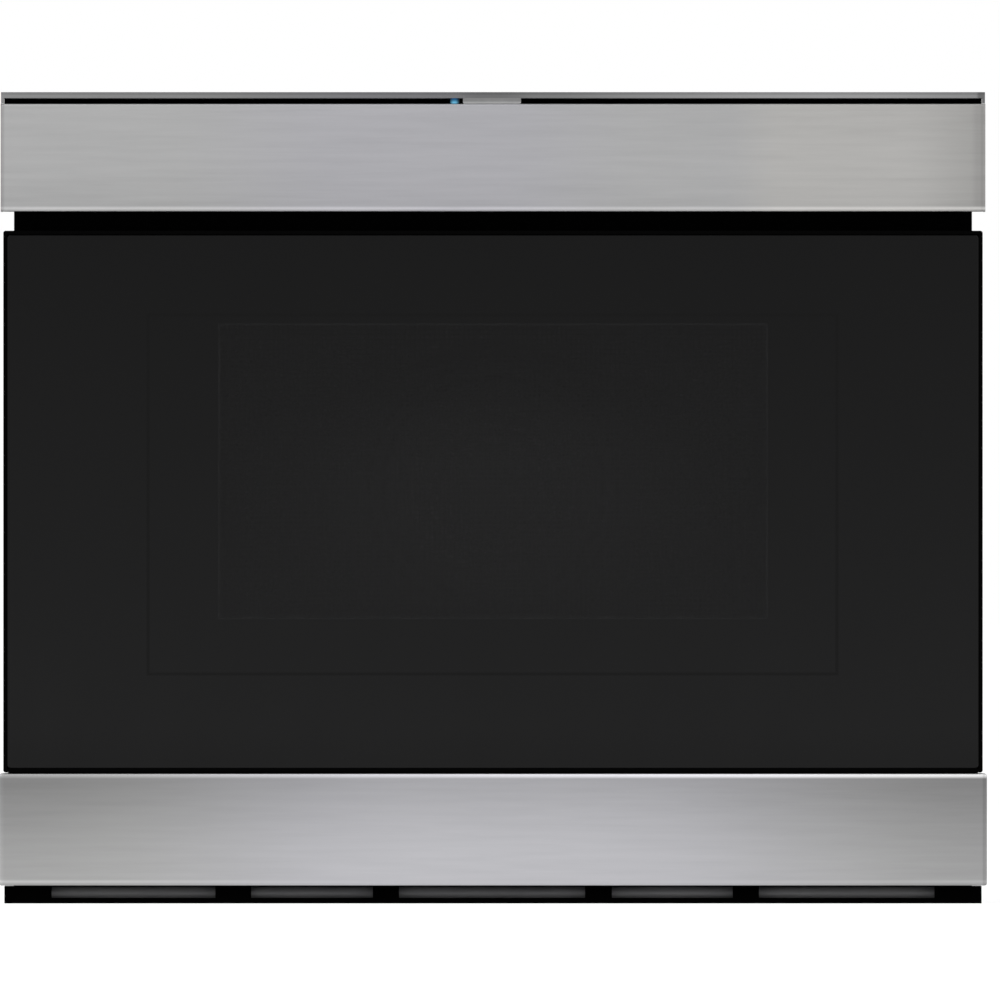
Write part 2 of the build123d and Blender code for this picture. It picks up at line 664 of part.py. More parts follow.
# Cooling fan: square shroud on four posts, with a spider for the motor.
shroud_half = 50.0
shroud_y = chassis_back_y - 26.0
rotor_radius = 42.0
shroud_bore = 45.0
fan_motor_radius = 22.0
with BuildPart() as fan_shroud:
    block(fan_x - shroud_half, fan_x + shroud_half, shroud_y - 20, shroud_y,
          fan_z - shroud_half, fan_z + shroud_half)
    fillet(fan_shroud.edges().filter_by(Axis.Y), 8)
    rod(fan_x, shroud_y - 25, fan_z, shroud_bore, 30, "y", Mode.SUBTRACT)
    for dx in (-1, 1):
        for dz in (-1, 1):
            rod(fan_x + dx * (shroud_half - 8), shroud_y, fan_z + dz * (shroud_half - 8), 4,
                panel_back_y - sheet - shroud_y, "y")
    block(fan_x - shroud_bore - 1, fan_x + shroud_bore + 1, shroud_y - 2, shroud_y, fan_z - 4,
          fan_z + 4)
    block(fan_x - 4, fan_x + 4, shroud_y - 2, shroud_y, fan_z - shroud_bore - 1,
          fan_z + shroud_bore + 1)
    rod(fan_x, shroud_y - 2, fan_z, fan_motor_radius, 2, "y")
    rod(fan_x, shroud_y - 5, fan_z, motor_shaft + 0.6, 10, "y", Mode.SUBTRACT)
fan_shroud.part.label = "fan_shroud"
export_step(fan_shroud.part, "parts/fan_shroud.step")

with BuildPart() as fan_motor:
    rod(fan_x, shroud_y, fan_z, fan_motor_radius, 18, "y")
    fillet(fan_motor.edges().filter_by(GeomType.CIRCLE).group_by(Axis.Y)[-1], 3)
    rod(fan_x, shroud_y - 1, fan_z, motor_shaft + running_fit, 13, "y", Mode.SUBTRACT)
fan_motor.part.label = "fan_motor"
export_step(fan_motor.part, "parts/fan_motor.step")

blade_span = rotor_radius - 11.0
with BuildPart() as fan_rotor:
    rod(fan_x, shroud_y - 18, fan_z, 13, 14, "y")
    rod(fan_x, shroud_y - 18, fan_z, motor_shaft, 28, "y")
    with Locations(Plane(origin=(fan_x, shroud_y - 11, fan_z), z_dir=(0, 1, 0))):
        with PolarLocations(11 + blade_span / 2, 5):
            Box(blade_span, 20, 1.6, rotation=(32, 0, 0))
fan_rotor.part.label = "fan_rotor"
export_step(fan_rotor.part, "parts/fan_rotor.step")

# Oven lamp in its can on the cavity's right side.
can_radius = 20.0
can_depth = 26.0
can_wall = 1.5
bulb_radius = 9.0
bulb_length = 18.0
with BuildPart() as cavity_lamp:
    rod(cavity_side + 3, lamp_y, lamp_z, bulb_radius, bulb_length, "x")
    fillet(cavity_lamp.edges().group_by(Axis.X)[0], bulb_radius - 2)
    rod(cavity_side + bulb_length, lamp_y, lamp_z, bulb_radius - 2, can_depth - bulb_length, "x")
    rod(cavity_side + can_depth - can_wall, lamp_y, lamp_z, can_radius, can_wall, "x")
    with BuildSketch(Plane.YZ.offset(cavity_side)):
        with Locations((lamp_y, lamp_z)):
            Circle(can_radius)
            Circle(can_radius - can_wall, mode=Mode.SUBTRACT)
    extrude(amount=can_depth)
cavity_lamp.part.label = "cavity_lamp"
export_step(cavity_lamp.part, "parts/cavity_lamp.step")

# Relay board over the cavity's left side, on four posts.
board_z = roof_z + 16.0
board_thick = 1.6
board_width = 125.0
board_length = 180.0
board_left = 5.0 - cavity_width / 2
board_front = cabinet_y + 34.0
post_inset = 7.0
with BuildPart() as control_board:
    board_right = board_left + board_width
    board_back = board_front + board_length
    top = board_z + board_thick
    block(board_left, board_right, board_front, board_back, board_z, top)
    for x in (board_left + post_inset, board_right - post_inset):
        for y in (board_front + post_inset, board_back - post_inset):
            rod(x, y, roof_z, 3, board_z - roof_z, "z")
    for n in range(4):
        y = board_front + 25 + n * 32
        block(board_left + 5, board_left + 23, y, y + 24, top, top + 15.4)
    block(board_left + 55, board_left + 93, board_front + 15, board_front + 55, top, top + 28.4)
    block(board_left + 45, board_right - 20, board_back - 35, board_back - 25, top, top + 10.4)
    for n in range(3):
        rod(board_right - 30, board_front + 85 + n * 16, top, 5, 18, "z")
control_board.part.label = "control_board"
export_step(control_board.part, "parts/control_board.step")

# ======== telescopic rails ========

bracket_half = (rail_height + 4) / 2
with BuildPart() as rail_brackets:
    y0 = rail_front
    y1 = cavity_back_y - 2
    low = rail_z - bracket_half
    high = rail_z + bracket_half
    both_sides(cavity_side, rail_inset, y0, y1, low, high)
    both_sides(cavity_side - 1, rail_inset - rail_sheet, y0 - 1, y1 + 1, low + rail_sheet,
               high - rail_sheet, Mode.SUBTRACT)
    both_sides(cavity_side, cavity_side + rail_sheet, y0, y1, high, high + 10)
    both_sides(cavity_side, cavity_side + rail_sheet, y0, y1, low - 10, low)
rail_brackets.part.label = "rail_brackets"
export_step(rail_brackets.part, "parts/rail_brackets.step")

rail_half = rail_height / 2
race = 2 * ball_radius + 2 * ball_play
rail_edge = rail_inset + rail_width
with BuildPart() as outer_rails:
    y1 = rail_front + rail_length
    both_sides(rail_inset, rail_edge, rail_front, y1, rail_z - rail_half, rail_z + rail_half)
    both_sides(rail_inset + rail_sheet, rail_edge - sheet, rail_front - 1, y1 + 1,
               rail_z - rail_half + rail_sheet, rail_z + rail_half - rail_sheet, Mode.SUBTRACT)
    both_sides(rail_edge - sheet - 1, rail_edge + 1, rail_front - 1, y1 + 1,
               rail_z - rail_half + 4, rail_z + rail_half - 4, Mode.SUBTRACT)
outer_rails.part.label = "outer_rails"
export_step(outer_rails.part, "parts/outer_rails.step")

# The middle member runs in the outer one on balls, and carries the inner one on balls.
middle_length = rail_length - 20.0
middle_half = rail_half - rail_sheet - race
middle_x = rail_inset + 3.0
middle_edge = rail_edge - 2.2
with BuildPart() as middle_rails:
    y0 = rail_front + 1
    y1 = y0 + middle_length
    both_sides(middle_x, middle_edge, y0, y1, rail_z - middle_half, rail_z + middle_half)
    both_sides(middle_x + sheet, middle_edge + 1, y0 - 1, y1 + 1, rail_z - middle_half + sheet,
               rail_z + middle_half - sheet, Mode.SUBTRACT)
middle_rails.part.label = "middle_rails"
export_step(middle_rails.part, "parts/middle_rails.step")

inner_half = middle_half - sheet - race
inner_x = middle_x + 2.5
inner_front = cabinet_y - 1.0
inner_length = rail_length - 20.0
with BuildPart() as inner_rails:
    y0 = inner_front
    y1 = y0 + inner_length
    both_sides(inner_x, arm_x, y0, y1, rail_z - inner_half, rail_z + inner_half)
    both_sides(inner_x - 1, arm_x - rail_sheet, y0 - 1, y1 + 1, rail_z - inner_half + sheet,
               rail_z + inner_half - sheet, Mode.SUBTRACT)
inner_rails.part.label = "inner_rails"
export_step(inner_rails.part, "parts/inner_rails.step")

# Ball cages: a strip with its row of balls above and below each member.
cage_sheet = 0.6
cage_width = 4.4
cage_length = balls_in_cage * ball_pitch
outer_cage_x = (middle_x + middle_edge) / 2
inner_cage_x = inner_x + 3.2
outer_cage_z = middle_half + race / 2
inner_cage_z = inner_half + race / 2
cage_front = rail_front + 105.0
with BuildPart() as outer_ball_cages:
    for x in (-outer_cage_x, outer_cage_x):
        for z in (rail_z - outer_cage_z, rail_z + outer_cage_z):
            block(x - cage_width / 2, x + cage_width / 2, cage_front, cage_front + cage_length,
                  z - cage_sheet / 2, z + cage_sheet / 2)
            for n in range(balls_in_cage):
                y = cage_front + (n + 0.5) * ball_pitch
                rod(x, y, z - 1, ball_radius + ball_play, 2, "z", Mode.SUBTRACT)
                with Locations((x, y, z)):
                    Sphere(ball_radius)
outer_ball_cages.part.label = "outer_ball_cages"
export_step(outer_ball_cages.part, "parts/outer_ball_cages.step")

with BuildPart() as inner_ball_cages:
    for x in (-inner_cage_x, inner_cage_x):
        for z in (rail_z - inner_cage_z, rail_z + inner_cage_z):
            block(x - cage_width / 2, x + cage_width / 2, cage_front, cage_front + cage_length,
                  z - cage_sheet / 2, z + cage_sheet / 2)
            for n in range(balls_in_cage):
                y = cage_front + (n + 0.5) * ball_pitch
                rod(x, y, z - 1, ball_radius + ball_play, 2, "z", Mode.SUBTRACT)
                with Locations((x, y, z)):
                    Sphere(ball_radius)
inner_ball_cages.part.label = "inner_ball_cages"
export_step(inner_ball_cages.part, "parts/inner_ball_cages.step")

# Two snap switches on the left rail bracket: drawer closed and drawer open.
switch_z = rail_z + bracket_half
with BuildPart() as position_switches:
    for y in (rail_front + 14, cavity_back_y - 34):
        block(-rail_inset + 2, -rail_inset + 12, y, y + 20, switch_z, switch_z + 15)
        block(-arm_x - arm_sheet - 1, -rail_inset + 2, y + 8, y + 12, switch_z + 1, switch_z + 1.8)
        for dy in (4, 10, 16):
            block(-rail_inset + 6, -rail_inset + 8, y + dy - 0.4, y + dy + 0.4, switch_z + 15,
                  switch_z + 20)
position_switches.part.label = "position_switches"
export_step(position_switches.part, "parts/position_switches.step")

# ======== rack drive ========

tooth_pitch = pi * gear_module
pitch_radius = gear_module * pinion_teeth / 2
rack_pitch_z = rack_tip_z + gear_module
pinion_z = rack_pitch_z - pitch_radius
tip_radius = pitch_radius + gear_module - 0.1
root_radius = pitch_radius - 1.2 * gear_module
base_radius = pitch_radius * cos(radians(pressure_angle))
shaft_radius = 4.0
bearing_x = 10.0


def flank_angle(radius):
    """Angle of an involute flank at a radius, counted from the tooth's middle."""
    roll = ((max(radius, base_radius) / base_radius) ** 2 - 1) ** 0.5
    pitch_roll = tan(radians(pressure_angle))
    start = pi / (2 * pinion_teeth) - backlash / (2 * pitch_radius)
    spread = (roll - atan(roll)) - (pitch_roll - radians(pressure_angle))
    return start - spread


def on_gear(radius, angle):
    """A point at a radius and an angle from the tooth's middle."""
    return (radius * cos(angle), radius * sin(angle))


with BuildPart() as drive_pinion:
    with BuildSketch(Plane.YZ.offset(-rack_width / 2)):
        with Locations((pinion_y, pinion_z)):
            Circle(root_radius)
    extrude(amount=rack_width)
    flank_radii = [root_radius - 0.4, base_radius, pitch_radius, tip_radius]
    with BuildSketch(Plane.YZ.offset(-rack_width / 2)):
        with Locations((pinion_y, pinion_z)):
            with PolarLocations(0, pinion_teeth, start_angle=90):
                upper = [on_gear(r, flank_angle(r)) for r in flank_radii]
                lower = [on_gear(r, -flank_angle(r)) for r in reversed(flank_radii)]
                Polygon(*upper, *lower, align=None)
    extrude(amount=rack_width)
    rod(-rack_width / 2 - 30, pinion_y, pinion_z, shaft_radius, 30 + rack_width + 7, "x")
drive_pinion.part.label = "drive_pinion"
export_step(drive_pinion.part, "parts/drive_pinion.step")

# ======== drawer ========

# Sheet-steel inner panel of the drawer front; everything else bolts to it.
skin_front = frame_y - 5.8
skin_back = skin_front + sheet
skin_half = glass_width / 2 - moulding - 0.3
skin_top = glass_top - moulding - 0.3
skin_bottom = panel_bottom + 3.0
skin_flange = 8.0
arm_hole_x = arm_x - 6.0
arm_screw_zs = (rail_z - 13, rail_z + 13)
with BuildPart() as drawer_skin:
    block(-skin_half, skin_half, skin_front, skin_back, skin_bottom, skin_top)
    flange_low = glass_bottom + moulding + 0.3
    both_sides(skin_half - sheet, skin_half, skin_front - skin_flange, skin_front, flange_low,
               skin_top)
    block(-skin_half, skin_half, skin_front - skin_flange, skin_front, skin_top - sheet, skin_top)
    block(-window_width / 2 - 2, window_width / 2 + 2, skin_front - 1, skin_back + 1,
          window_z - window_height / 2 - 2, window_z + window_height / 2 + 2, Mode.SUBTRACT)
    for x in (-arm_hole_x, arm_hole_x):
        for z in arm_screw_zs:
            rod(x, skin_front - 5, z, screw_shank + screw_fit, 10, "y", Mode.SUBTRACT)
drawer_skin.part.label = "drawer_skin"
export_step(drawer_skin.part, "parts/drawer_skin.step")

# Rack with trapezoid teeth along its underside, and its end plate on the drawer front.
travel = cavity_back_y - tub_back_gap - skin_back - tub_left_inside
rack_length = travel + 45.0
rack_back = skin_back + rack_length
tooth_half = tooth_pitch / 4 - backlash / 2
slope = gear_module * tan(radians(pressure_angle))
tooth_count = int((rack_length - 12) / tooth_pitch)
teeth_ahead = int((pinion_y - skin_back - 8) / tooth_pitch)
first_tooth = pinion_y - (teeth_ahead - 0.5) * tooth_pitch
root_z = rack_pitch_z + 1.25 * gear_module
with BuildPart() as drive_rack:
    block(-rack_width / 2, rack_width / 2, skin_back, rack_back, root_z, root_z + rack_body)
    with BuildSketch(Plane.YZ.offset(-rack_width / 2)):
        for n in range(tooth_count):
            y = first_tooth + n * tooth_pitch
            wide = tooth_half + slope * 1.25 + 0.2 * slope
            narrow = tooth_half - slope
            Polygon((y - narrow, rack_tip_z), (y + narrow, rack_tip_z),
                    (y + wide, root_z + 0.3), (y - wide, root_z + 0.3), align=None)
    extrude(amount=rack_width)
    block(-22, 22, skin_back, skin_back + 2, rack_tip_z, root_z + rack_body)
drive_rack.part.label = "drive_rack"
export_step(drive_rack.part, "parts/drive_rack.step")

# Motor with worm gearbox beside the pinion, and the stand that carries both.
box_right = -rack_width / 2 - 3.0
box_left = box_right - 46.0
stand_top = pinion_z - 24.0
stand_front = pinion_y - 26.0
stand_back = pinion_y + 92.0
with BuildPart() as drive_gearmotor:
    block(box_left, box_right, pinion_y - 22, pinion_y + 22, stand_top, pinion_z + 20)
    fillet(drive_gearmotor.edges().filter_by(Axis.Z), 3)
    motor_x = (box_left + box_right) / 2
    rod(motor_x, pinion_y + 22, pinion_z - 5, 18, 66, "y")
    rod(motor_x, pinion_y + 88, pinion_z - 5, 6, 5, "y")
    rod(box_right - 28, pinion_y, pinion_z, shaft_radius + running_fit, 35, "x", Mode.SUBTRACT)
drive_gearmotor.part.label = "drive_gearmotor"
export_step(drive_gearmotor.part, "parts/drive_gearmotor.step")

with BuildPart() as motor_stand:
    block(box_left - 12, bearing_x + 14, stand_front, stand_back, floor_z, floor_z + 2)
    block(box_left - 12, box_right, stand_front, stand_back, stand_top - 2, stand_top)
    block(box_left, box_left + 2, stand_front, stand_back, floor_z, stand_top)
    block(box_right - 2, box_right, stand_front, stand_back, floor_z, stand_top)
    block(bearing_x, bearing_x + 3, pinion_y - 12, pinion_y + 12, floor_z, pinion_z + 9)
    rod(bearing_x - 1, pinion_y, pinion_z, shaft_radius + running_fit, 6, "x", Mode.SUBTRACT)
motor_stand.part.label = "motor_stand"
export_step(motor_stand.part, "parts/motor_stand.step")

# Moulded frame round the glass, with the ledge that the glass is bonded to.
glass_front = front_y + 1.5
glass_back = glass_front + glass_thick
glass_half = glass_width / 2
ledge = 16.0
ledge_depth = 3.0
moulding_corner = 1.5
with BuildPart() as door_frame:
    block(-glass_half, glass_half, glass_front + 0.4, skin_front, glass_bottom, glass_top)
    fillet(door_frame.edges().filter_by(Axis.Y), moulding_corner)
    block(-glass_half + moulding, glass_half - moulding, glass_front - 1, glass_back,
          glass_bottom + moulding, glass_top - moulding, Mode.SUBTRACT)
    block(-glass_half + ledge, glass_half - ledge, glass_back - 1, glass_back + ledge_depth + 1,
          glass_bottom + ledge, glass_top - ledge, Mode.SUBTRACT)
    block(-glass_half + moulding, glass_half - moulding, glass_back + ledge_depth, skin_front + 1,
          glass_bottom + moulding, glass_top - moulding, Mode.SUBTRACT)
door_frame.part.label = "door_frame"
export_step(door_frame.part, "parts/door_frame.step")

glass_fit = 0.2
with BuildPart() as door_glass:
    with BuildSketch(Plane.XZ.offset(-glass_back)):
        with Locations((0, (glass_bottom + glass_top) / 2)):
            RectangleRounded(glass_width - 2 * (moulding + glass_fit),
                             glass_height - 2 * (moulding + glass_fit), 2.5)
    extrude(amount=glass_thick)
    chamfer(door_glass.faces().sort_by(Axis.Y)[0].edges(), 0.6)
door_glass.part.label = "door_glass"
export_step(door_glass.part, "parts/door_glass.step")

# Brushed panel under the glass: a folded pan with lips against the inner panel.
panel_half = front_width / 2
panel_corner = 1.5
with BuildPart() as lower_panel:
    block(-panel_half, panel_half, front_y, skin_front, panel_bottom, panel_top)
    fillet(lower_panel.edges().filter_by(Axis.Y), panel_corner)
    fillet(lower_panel.faces().sort_by(Axis.Y)[0].edges(), 1.2)
    block(-panel_half + thin_sheet, panel_half - thin_sheet, front_y + thin_sheet,
          skin_front - thin_sheet, panel_bottom + thin_sheet, panel_top - thin_sheet,
          Mode.SUBTRACT)
    block(-panel_half + 14, panel_half - 14, skin_front - 2, skin_front + 1, panel_bottom + 10,
          panel_top - 10, Mode.SUBTRACT)
lower_panel.part.label = "lower_panel"
export_step(lower_panel.part, "parts/lower_panel.step")

# Perforated shield over the window, and the pane that covers it on the oven's side.
shield_margin = 12.0
shield_sheet = 0.8
pane_side = 20.0
pane_edge = 10.0
with BuildPart() as door_screen:
    block(-window_width / 2 - shield_margin, window_width / 2 + shield_margin,
          skin_front - shield_sheet, skin_front, window_z - window_height / 2 - shield_margin,
          window_z + window_height / 2 + shield_margin)
    with BuildSketch(Plane.XZ.offset(-skin_front - 1)):
        with Locations((0, window_z)):
            with GridLocations(15, 15, 22, 12):
                Rectangle(11, 11)
    extrude(amount=5, mode=Mode.SUBTRACT)
door_screen.part.label = "door_screen"
export_step(door_screen.part, "parts/door_screen.step")

with BuildPart() as inner_pane:
    block(-window_width / 2 - pane_side, window_width / 2 + pane_side, skin_back,
          skin_back + inner_glass_thick, window_z - window_height / 2 - pane_edge,
          window_z + window_height / 2 + pane_edge)
    fillet(inner_pane.edges().filter_by(Axis.Y), 8)
inner_pane.part.label = "inner_pane"
export_step(inner_pane.part, "parts/inner_pane.step")

# Ring that traps microwaves between the drawer front and the frame.
choke_inset = 2.0
choke_band = 22.0
choke_depth = frame_y - 0.7 - skin_back
with BuildPart() as choke_ring:
    with BuildSketch(Plane.XZ.offset(-skin_back)):
        with Locations((0, cavity_mid_z)):
            RectangleRounded(cavity_width + 2 * (choke_inset + choke_band),
                             cavity_height + 2 * (choke_inset + choke_band),
                             cavity_corner + choke_band)
            RectangleRounded(cavity_width + 2 * choke_inset, cavity_height + 2 * choke_inset,
                             cavity_corner + choke_inset, mode=Mode.SUBTRACT)
    extrude(amount=-choke_depth)
    fillet(choke_ring.faces().sort_by(Axis.Y)[-1].edges(), 0.8)
choke_ring.part.label = "choke_ring"
export_step(choke_ring.part, "parts/choke_ring.step")

# Tub: floor, two sides that fall to a low rear wall, and a rolled rim.
tub_half = cavity_width / 2 - tub_side_gap
tub_bottom = cavity_floor_z + tub_floor_gap
tub_top = tub_bottom + tub_height
tub_rear_top = tub_bottom + tub_rear_height
tub_back = cavity_back_y - tub_back_gap
tub_slope = 48.0
rim = 3.0
tub_corner = 12.0
with BuildPart() as tub_hollow:
    inside = tub_half - tub_wall
    block(-inside, inside, skin_back - 20, tub_back - tub_wall, tub_bottom + tub_wall, tub_top + 20)
    fillet(tub_hollow.edges().filter_by(Axis.Y).group_by(Axis.Z)[0], tub_corner - tub_wall)
    fillet(tub_hollow.edges().group_by(Axis.Z)[0].sort_by(Axis.Y)[-1], tub_corner - tub_wall)

with BuildPart() as drawer_tub:
    with BuildSketch(Plane.YZ.offset(-tub_half)):
        Polygon((skin_back, tub_bottom), (tub_back, tub_bottom), (tub_back, tub_rear_top),
                (tub_back - tub_slope, tub_top), (skin_back, tub_top), align=None)
    extrude(amount=2 * tub_half)
    fillet(drawer_tub.edges().filter_by(Axis.Y).group_by(Axis.Z)[0], tub_corner)
    fillet(drawer_tub.edges().group_by(Axis.Z)[0].sort_by(Axis.Y)[-1], tub_corner)
    add(tub_hollow.part, mode=Mode.SUBTRACT)
    both_sides(tub_half - tub_wall, tub_half + rim, skin_back, tub_back - tub_slope - 2,
               tub_top - tub_wall, tub_top)
    both_sides(tub_half + rim - tub_wall, tub_half + rim, skin_back, tub_back - tub_slope - 2,
               tub_top - 5, tub_top)
    block(-tub_half + 12, tub_half - 12, tub_back - tub_wall, tub_back + rim,
          tub_rear_top - tub_wall, tub_rear_top)
drawer_tub.part.label = "drawer_tub"
export_step(drawer_tub.part, "parts/drawer_tub.step")

ceramic_gap = 1.0
ceramic_front = skin_back + inner_glass_thick + 6.0
ceramic_back = tub_back - tub_corner - ceramic_gap
with BuildPart() as ceramic_floor:
    with BuildSketch(Plane.XY.offset(tub_bottom + tub_wall)):
        with Locations((0, (ceramic_front + ceramic_back) / 2)):
            RectangleRounded(2 * (tub_half - tub_corner - ceramic_gap),
                             ceramic_back - ceramic_front, 10)
    extrude(amount=ceramic_thick)
    chamfer(ceramic_floor.faces().sort_by(Axis.Z)[-1].edges(), 0.8)
ceramic_floor.part.label = "ceramic_floor"
export_step(ceramic_floor.part, "parts/ceramic_floor.step")

# Arms that tie the drawer front to the inner rail members.
arm_half = rail_half - 3.0
arm_back = inner_front + inner_length
with BuildPart() as drawer_arms:
    both_sides(arm_x, arm_x + arm_sheet, skin_back, arm_back, rail_z - arm_half, rail_z + arm_half)
    both_sides(arm_x - 12, arm_x, skin_back, skin_back + arm_sheet, rail_z - arm_half,
               rail_z + arm_half)
    for x in (-arm_hole_x, arm_hole_x):
        for z in arm_screw_zs:
            rod(x, skin_back - 5, z, screw_shank + screw_fit, 10, "y", Mode.SUBTRACT)
drawer_arms.part.label = "drawer_arms"
export_step(drawer_arms.part, "parts/drawer_arms.step")

with BuildPart() as drawer_screws:
    for x in (-arm_hole_x, arm_hole_x):
        for z in arm_screw_zs:
            rod(x, skin_front - 5, z, screw_shank, skin_back + arm_sheet - skin_front + 5, "y")
            rod(x, skin_back + arm_sheet, z, screw_head, screw_head_height, "y")
drawer_screws.part.label = "drawer_screws"
export_step(drawer_screws.part, "parts/drawer_screws.step")

with BuildPart() as chassis_screws:
    for side in (-1, 1):
        for y in side_screw_ys:
            start = wrap_half if side > 0 else -wrap_half - screw_head_height
            rod(start, y, low_screw_z, screw_head, screw_head_height, "x")
            shank = wrap_half - 6 if side > 0 else -wrap_half
            rod(shank, y, low_screw_z, screw_shank, 6, "x")
    for x in rear_screw_xs:
        for z in (low_screw_z, top_screw_z):
            rod(x, panel_back_y, z, screw_head, screw_head_height, "y")
            rod(x, panel_back_y - 6, z, screw_shank, 6, "y")
chassis_screws.part.label = "chassis_screws"
export_step(chassis_screws.part, "parts/chassis_screws.step")

# ======== control pod ========

pivot_y = front_y + pod_axis_behind
pivot_z = fascia_bottom + pod_axis_above
pod_back = front_y + pod_depth
fascia_half = fascia_width / 2
hem = 8.0
touch_front = front_y + hem + 0.5
touch_top_z = fascia_top - thin_sheet
slope_drop = tan(radians(touch_slope))
touch_rear_z = touch_top_z - (pod_back - touch_front) * slope_drop
with BuildPart() as control_fascia:
    with BuildSketch(Plane.YZ.offset(-fascia_half)):
        Polygon((front_y, fascia_bottom), (pod_back, fascia_bottom), (pod_back, touch_rear_z),
                (touch_front, touch_top_z), (touch_front, fascia_top), (front_y, fascia_top),
                align=None)
    extrude(amount=fascia_width)
    fillet(control_fascia.faces().sort_by(Axis.Y)[0].edges(), 1.2)
    inner = fascia_half - thin_sheet
    block(-inner, inner, front_y + thin_sheet, pod_back + 1, fascia_bottom + thin_sheet,
          fascia_top - thin_sheet, Mode.SUBTRACT)
    block(-inner, inner, front_y + hem, pod_back + 1, fascia_bottom - 1, fascia_top + 1,
          Mode.SUBTRACT)
control_fascia.part.label = "control_fascia"
export_step(control_fascia.part, "parts/control_fascia.step")

housing_half = fascia_half - pod_end_gap
bracket_x = housing_half + bracket_gap + bracket_width / 2
housing_front = front_y + thin_sheet
housing_bottom = fascia_bottom + thin_sheet + 0.3
seat_drop = touch_thick / cos(radians(touch_slope))
seat_front_z = touch_top_z - seat_drop
seat_rear_z = touch_rear_z - seat_drop
boss_radius = 5.0
boss_depth = 8.0
board_drop = 9.0
rib_x = housing_half - 90.0
with BuildPart() as pod_housing:
    with BuildSketch(Plane.YZ.offset(-housing_half)):
        Polygon((housing_front, housing_bottom), (pod_back, housing_bottom),
                (pod_back, seat_rear_z), (touch_front, seat_front_z),
                (touch_front, fascia_top - thin_sheet), (housing_front, fascia_top - thin_sheet),
                align=None)
    extrude(amount=2 * housing_half)
    inner = housing_half - moulding
    top = fascia_top
    block(-inner, inner, housing_front + moulding, pod_back - moulding, housing_bottom + moulding,
          seat_front_z - 8, Mode.SUBTRACT)
    block(-inner, inner, touch_front + moulding, pod_back - moulding, seat_front_z - 9, top,
          Mode.SUBTRACT)
    rib_top = seat_rear_z - board_drop
    for x in (-rib_x, 0, rib_x):
        block(x - 1, x + 1, touch_front + moulding, pod_back - moulding, housing_bottom, rib_top)
    for side in (-1, 1):
        start = housing_half - boss_depth if side > 0 else -housing_half
        rod(start, pivot_y, pivot_z, boss_radius, boss_depth, "x")
        rod(start, pivot_y, pivot_z, pin_radius + running_fit, boss_depth, "x", Mode.SUBTRACT)
pod_housing.part.label = "pod_housing"
export_step(pod_housing.part, "parts/pod_housing.step")

# Touch glass on the sloped top, seen when the pod has tilted forward.
touch_length = (pod_back - touch_front) / cos(radians(touch_slope)) - 0.8
seat_plane = Plane(origin=(0, (touch_front + pod_back) / 2, (seat_front_z + seat_rear_z) / 2),
                   x_dir=(1, 0, 0),
                   z_dir=(0, sin(radians(touch_slope)), cos(radians(touch_slope))))
with BuildPart() as touch_glass:
    with BuildSketch(seat_plane):
        RectangleRounded(2 * housing_half - 1, touch_length, 2)
    extrude(amount=touch_thick)
    chamfer(touch_glass.faces().sort_by(Axis.Z)[-1].edges(), 0.4)
touch_glass.part.label = "touch_glass"
export_step(touch_glass.part, "parts/touch_glass.step")

board_end = 30.0
display_half = 42.0
pad_radius = 5.0
pad_first = 90.0
pad_pitch = 40.0
with BuildPart() as display_board:
    half = housing_half - board_end
    block(-half, half, touch_front + moulding + 1, pod_back - moulding - 1, rib_top,
          rib_top + board_thick)
    block(-display_half, display_half, touch_front + moulding + 4, pod_back - moulding - 6,
          rib_top + board_thick, rib_top + 6)
    for n in range(4):
        for x in (-pad_first - n * pad_pitch, pad_first + n * pad_pitch):
            rod(x, pod_back - 14, rib_top + board_thick, pad_radius, 3, "z")
display_board.part.label = "display_board"
export_step(display_board.part, "parts/display_board.step")

# Hinge: a pin in each end of the housing, turning in a bracket on the frame.
pin_clip = 4.5
with BuildPart() as pod_hinge_pins:
    for side in (-1, 1):
        outer_end = bracket_x + bracket_width / 2 + 3.5
        start = housing_half - boss_depth + 0.3
        length = outer_end - start
        rod(start if side > 0 else -outer_end, pivot_y, pivot_z, pin_radius, length, "x")
        clip = outer_end - 2 if side > 0 else -outer_end + 0.8
        rod(clip, pivot_y, pivot_z, pin_clip, 1.2, "x")
        collar = housing_half + 0.2 if side > 0 else -housing_half - 2.2
        rod(collar, pivot_y, pivot_z, pin_clip, 2.0, "x")
pod_hinge_pins.part.label = "pod_hinge_pins"
export_step(pod_hinge_pins.part, "parts/pod_hinge_pins.step")

with BuildPart() as pod_hinge_brackets:
    for x in (-bracket_x, bracket_x):
        left = x - bracket_width / 2
        rod(left, pivot_y, pivot_z, bracket_knuckle, bracket_width, "x")
        block(left, left + bracket_width, pivot_y, frame_y, pivot_z - bracket_knuckle,
              pivot_z + bracket_knuckle)
        block(x - 7, x + 7, frame_y - 2, frame_y, pivot_z - bracket_knuckle,
              pivot_z + bracket_knuckle + 8)
        rod(left - 1, pivot_y, pivot_z, pin_radius + running_fit, bracket_width + 2, "x",
            Mode.SUBTRACT)
pod_hinge_brackets.part.label = "pod_hinge_brackets"
export_step(pod_hinge_brackets.part, "parts/pod_hinge_brackets.step")

# Push latch behind the frame; its nose meets the pod's rear wall.
with BuildPart() as pod_latch:
    half = latch_size / 2
    block(-half, half, frame_y, cabinet_y + 22, latch_z - half, latch_z + half)
    block(-half - 5, half + 5, cabinet_y, cabinet_y + 2, latch_z - half - 5, latch_z + half + 5)
    rod(0, pod_back + 0.4, latch_z, 5, frame_y - pod_back, "y")
pod_latch.part.label = "pod_latch"
export_step(pod_latch.part, "parts/pod_latch.step")
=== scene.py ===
import json
import math

import bmesh
import bpy
from mathutils import Matrix, Vector


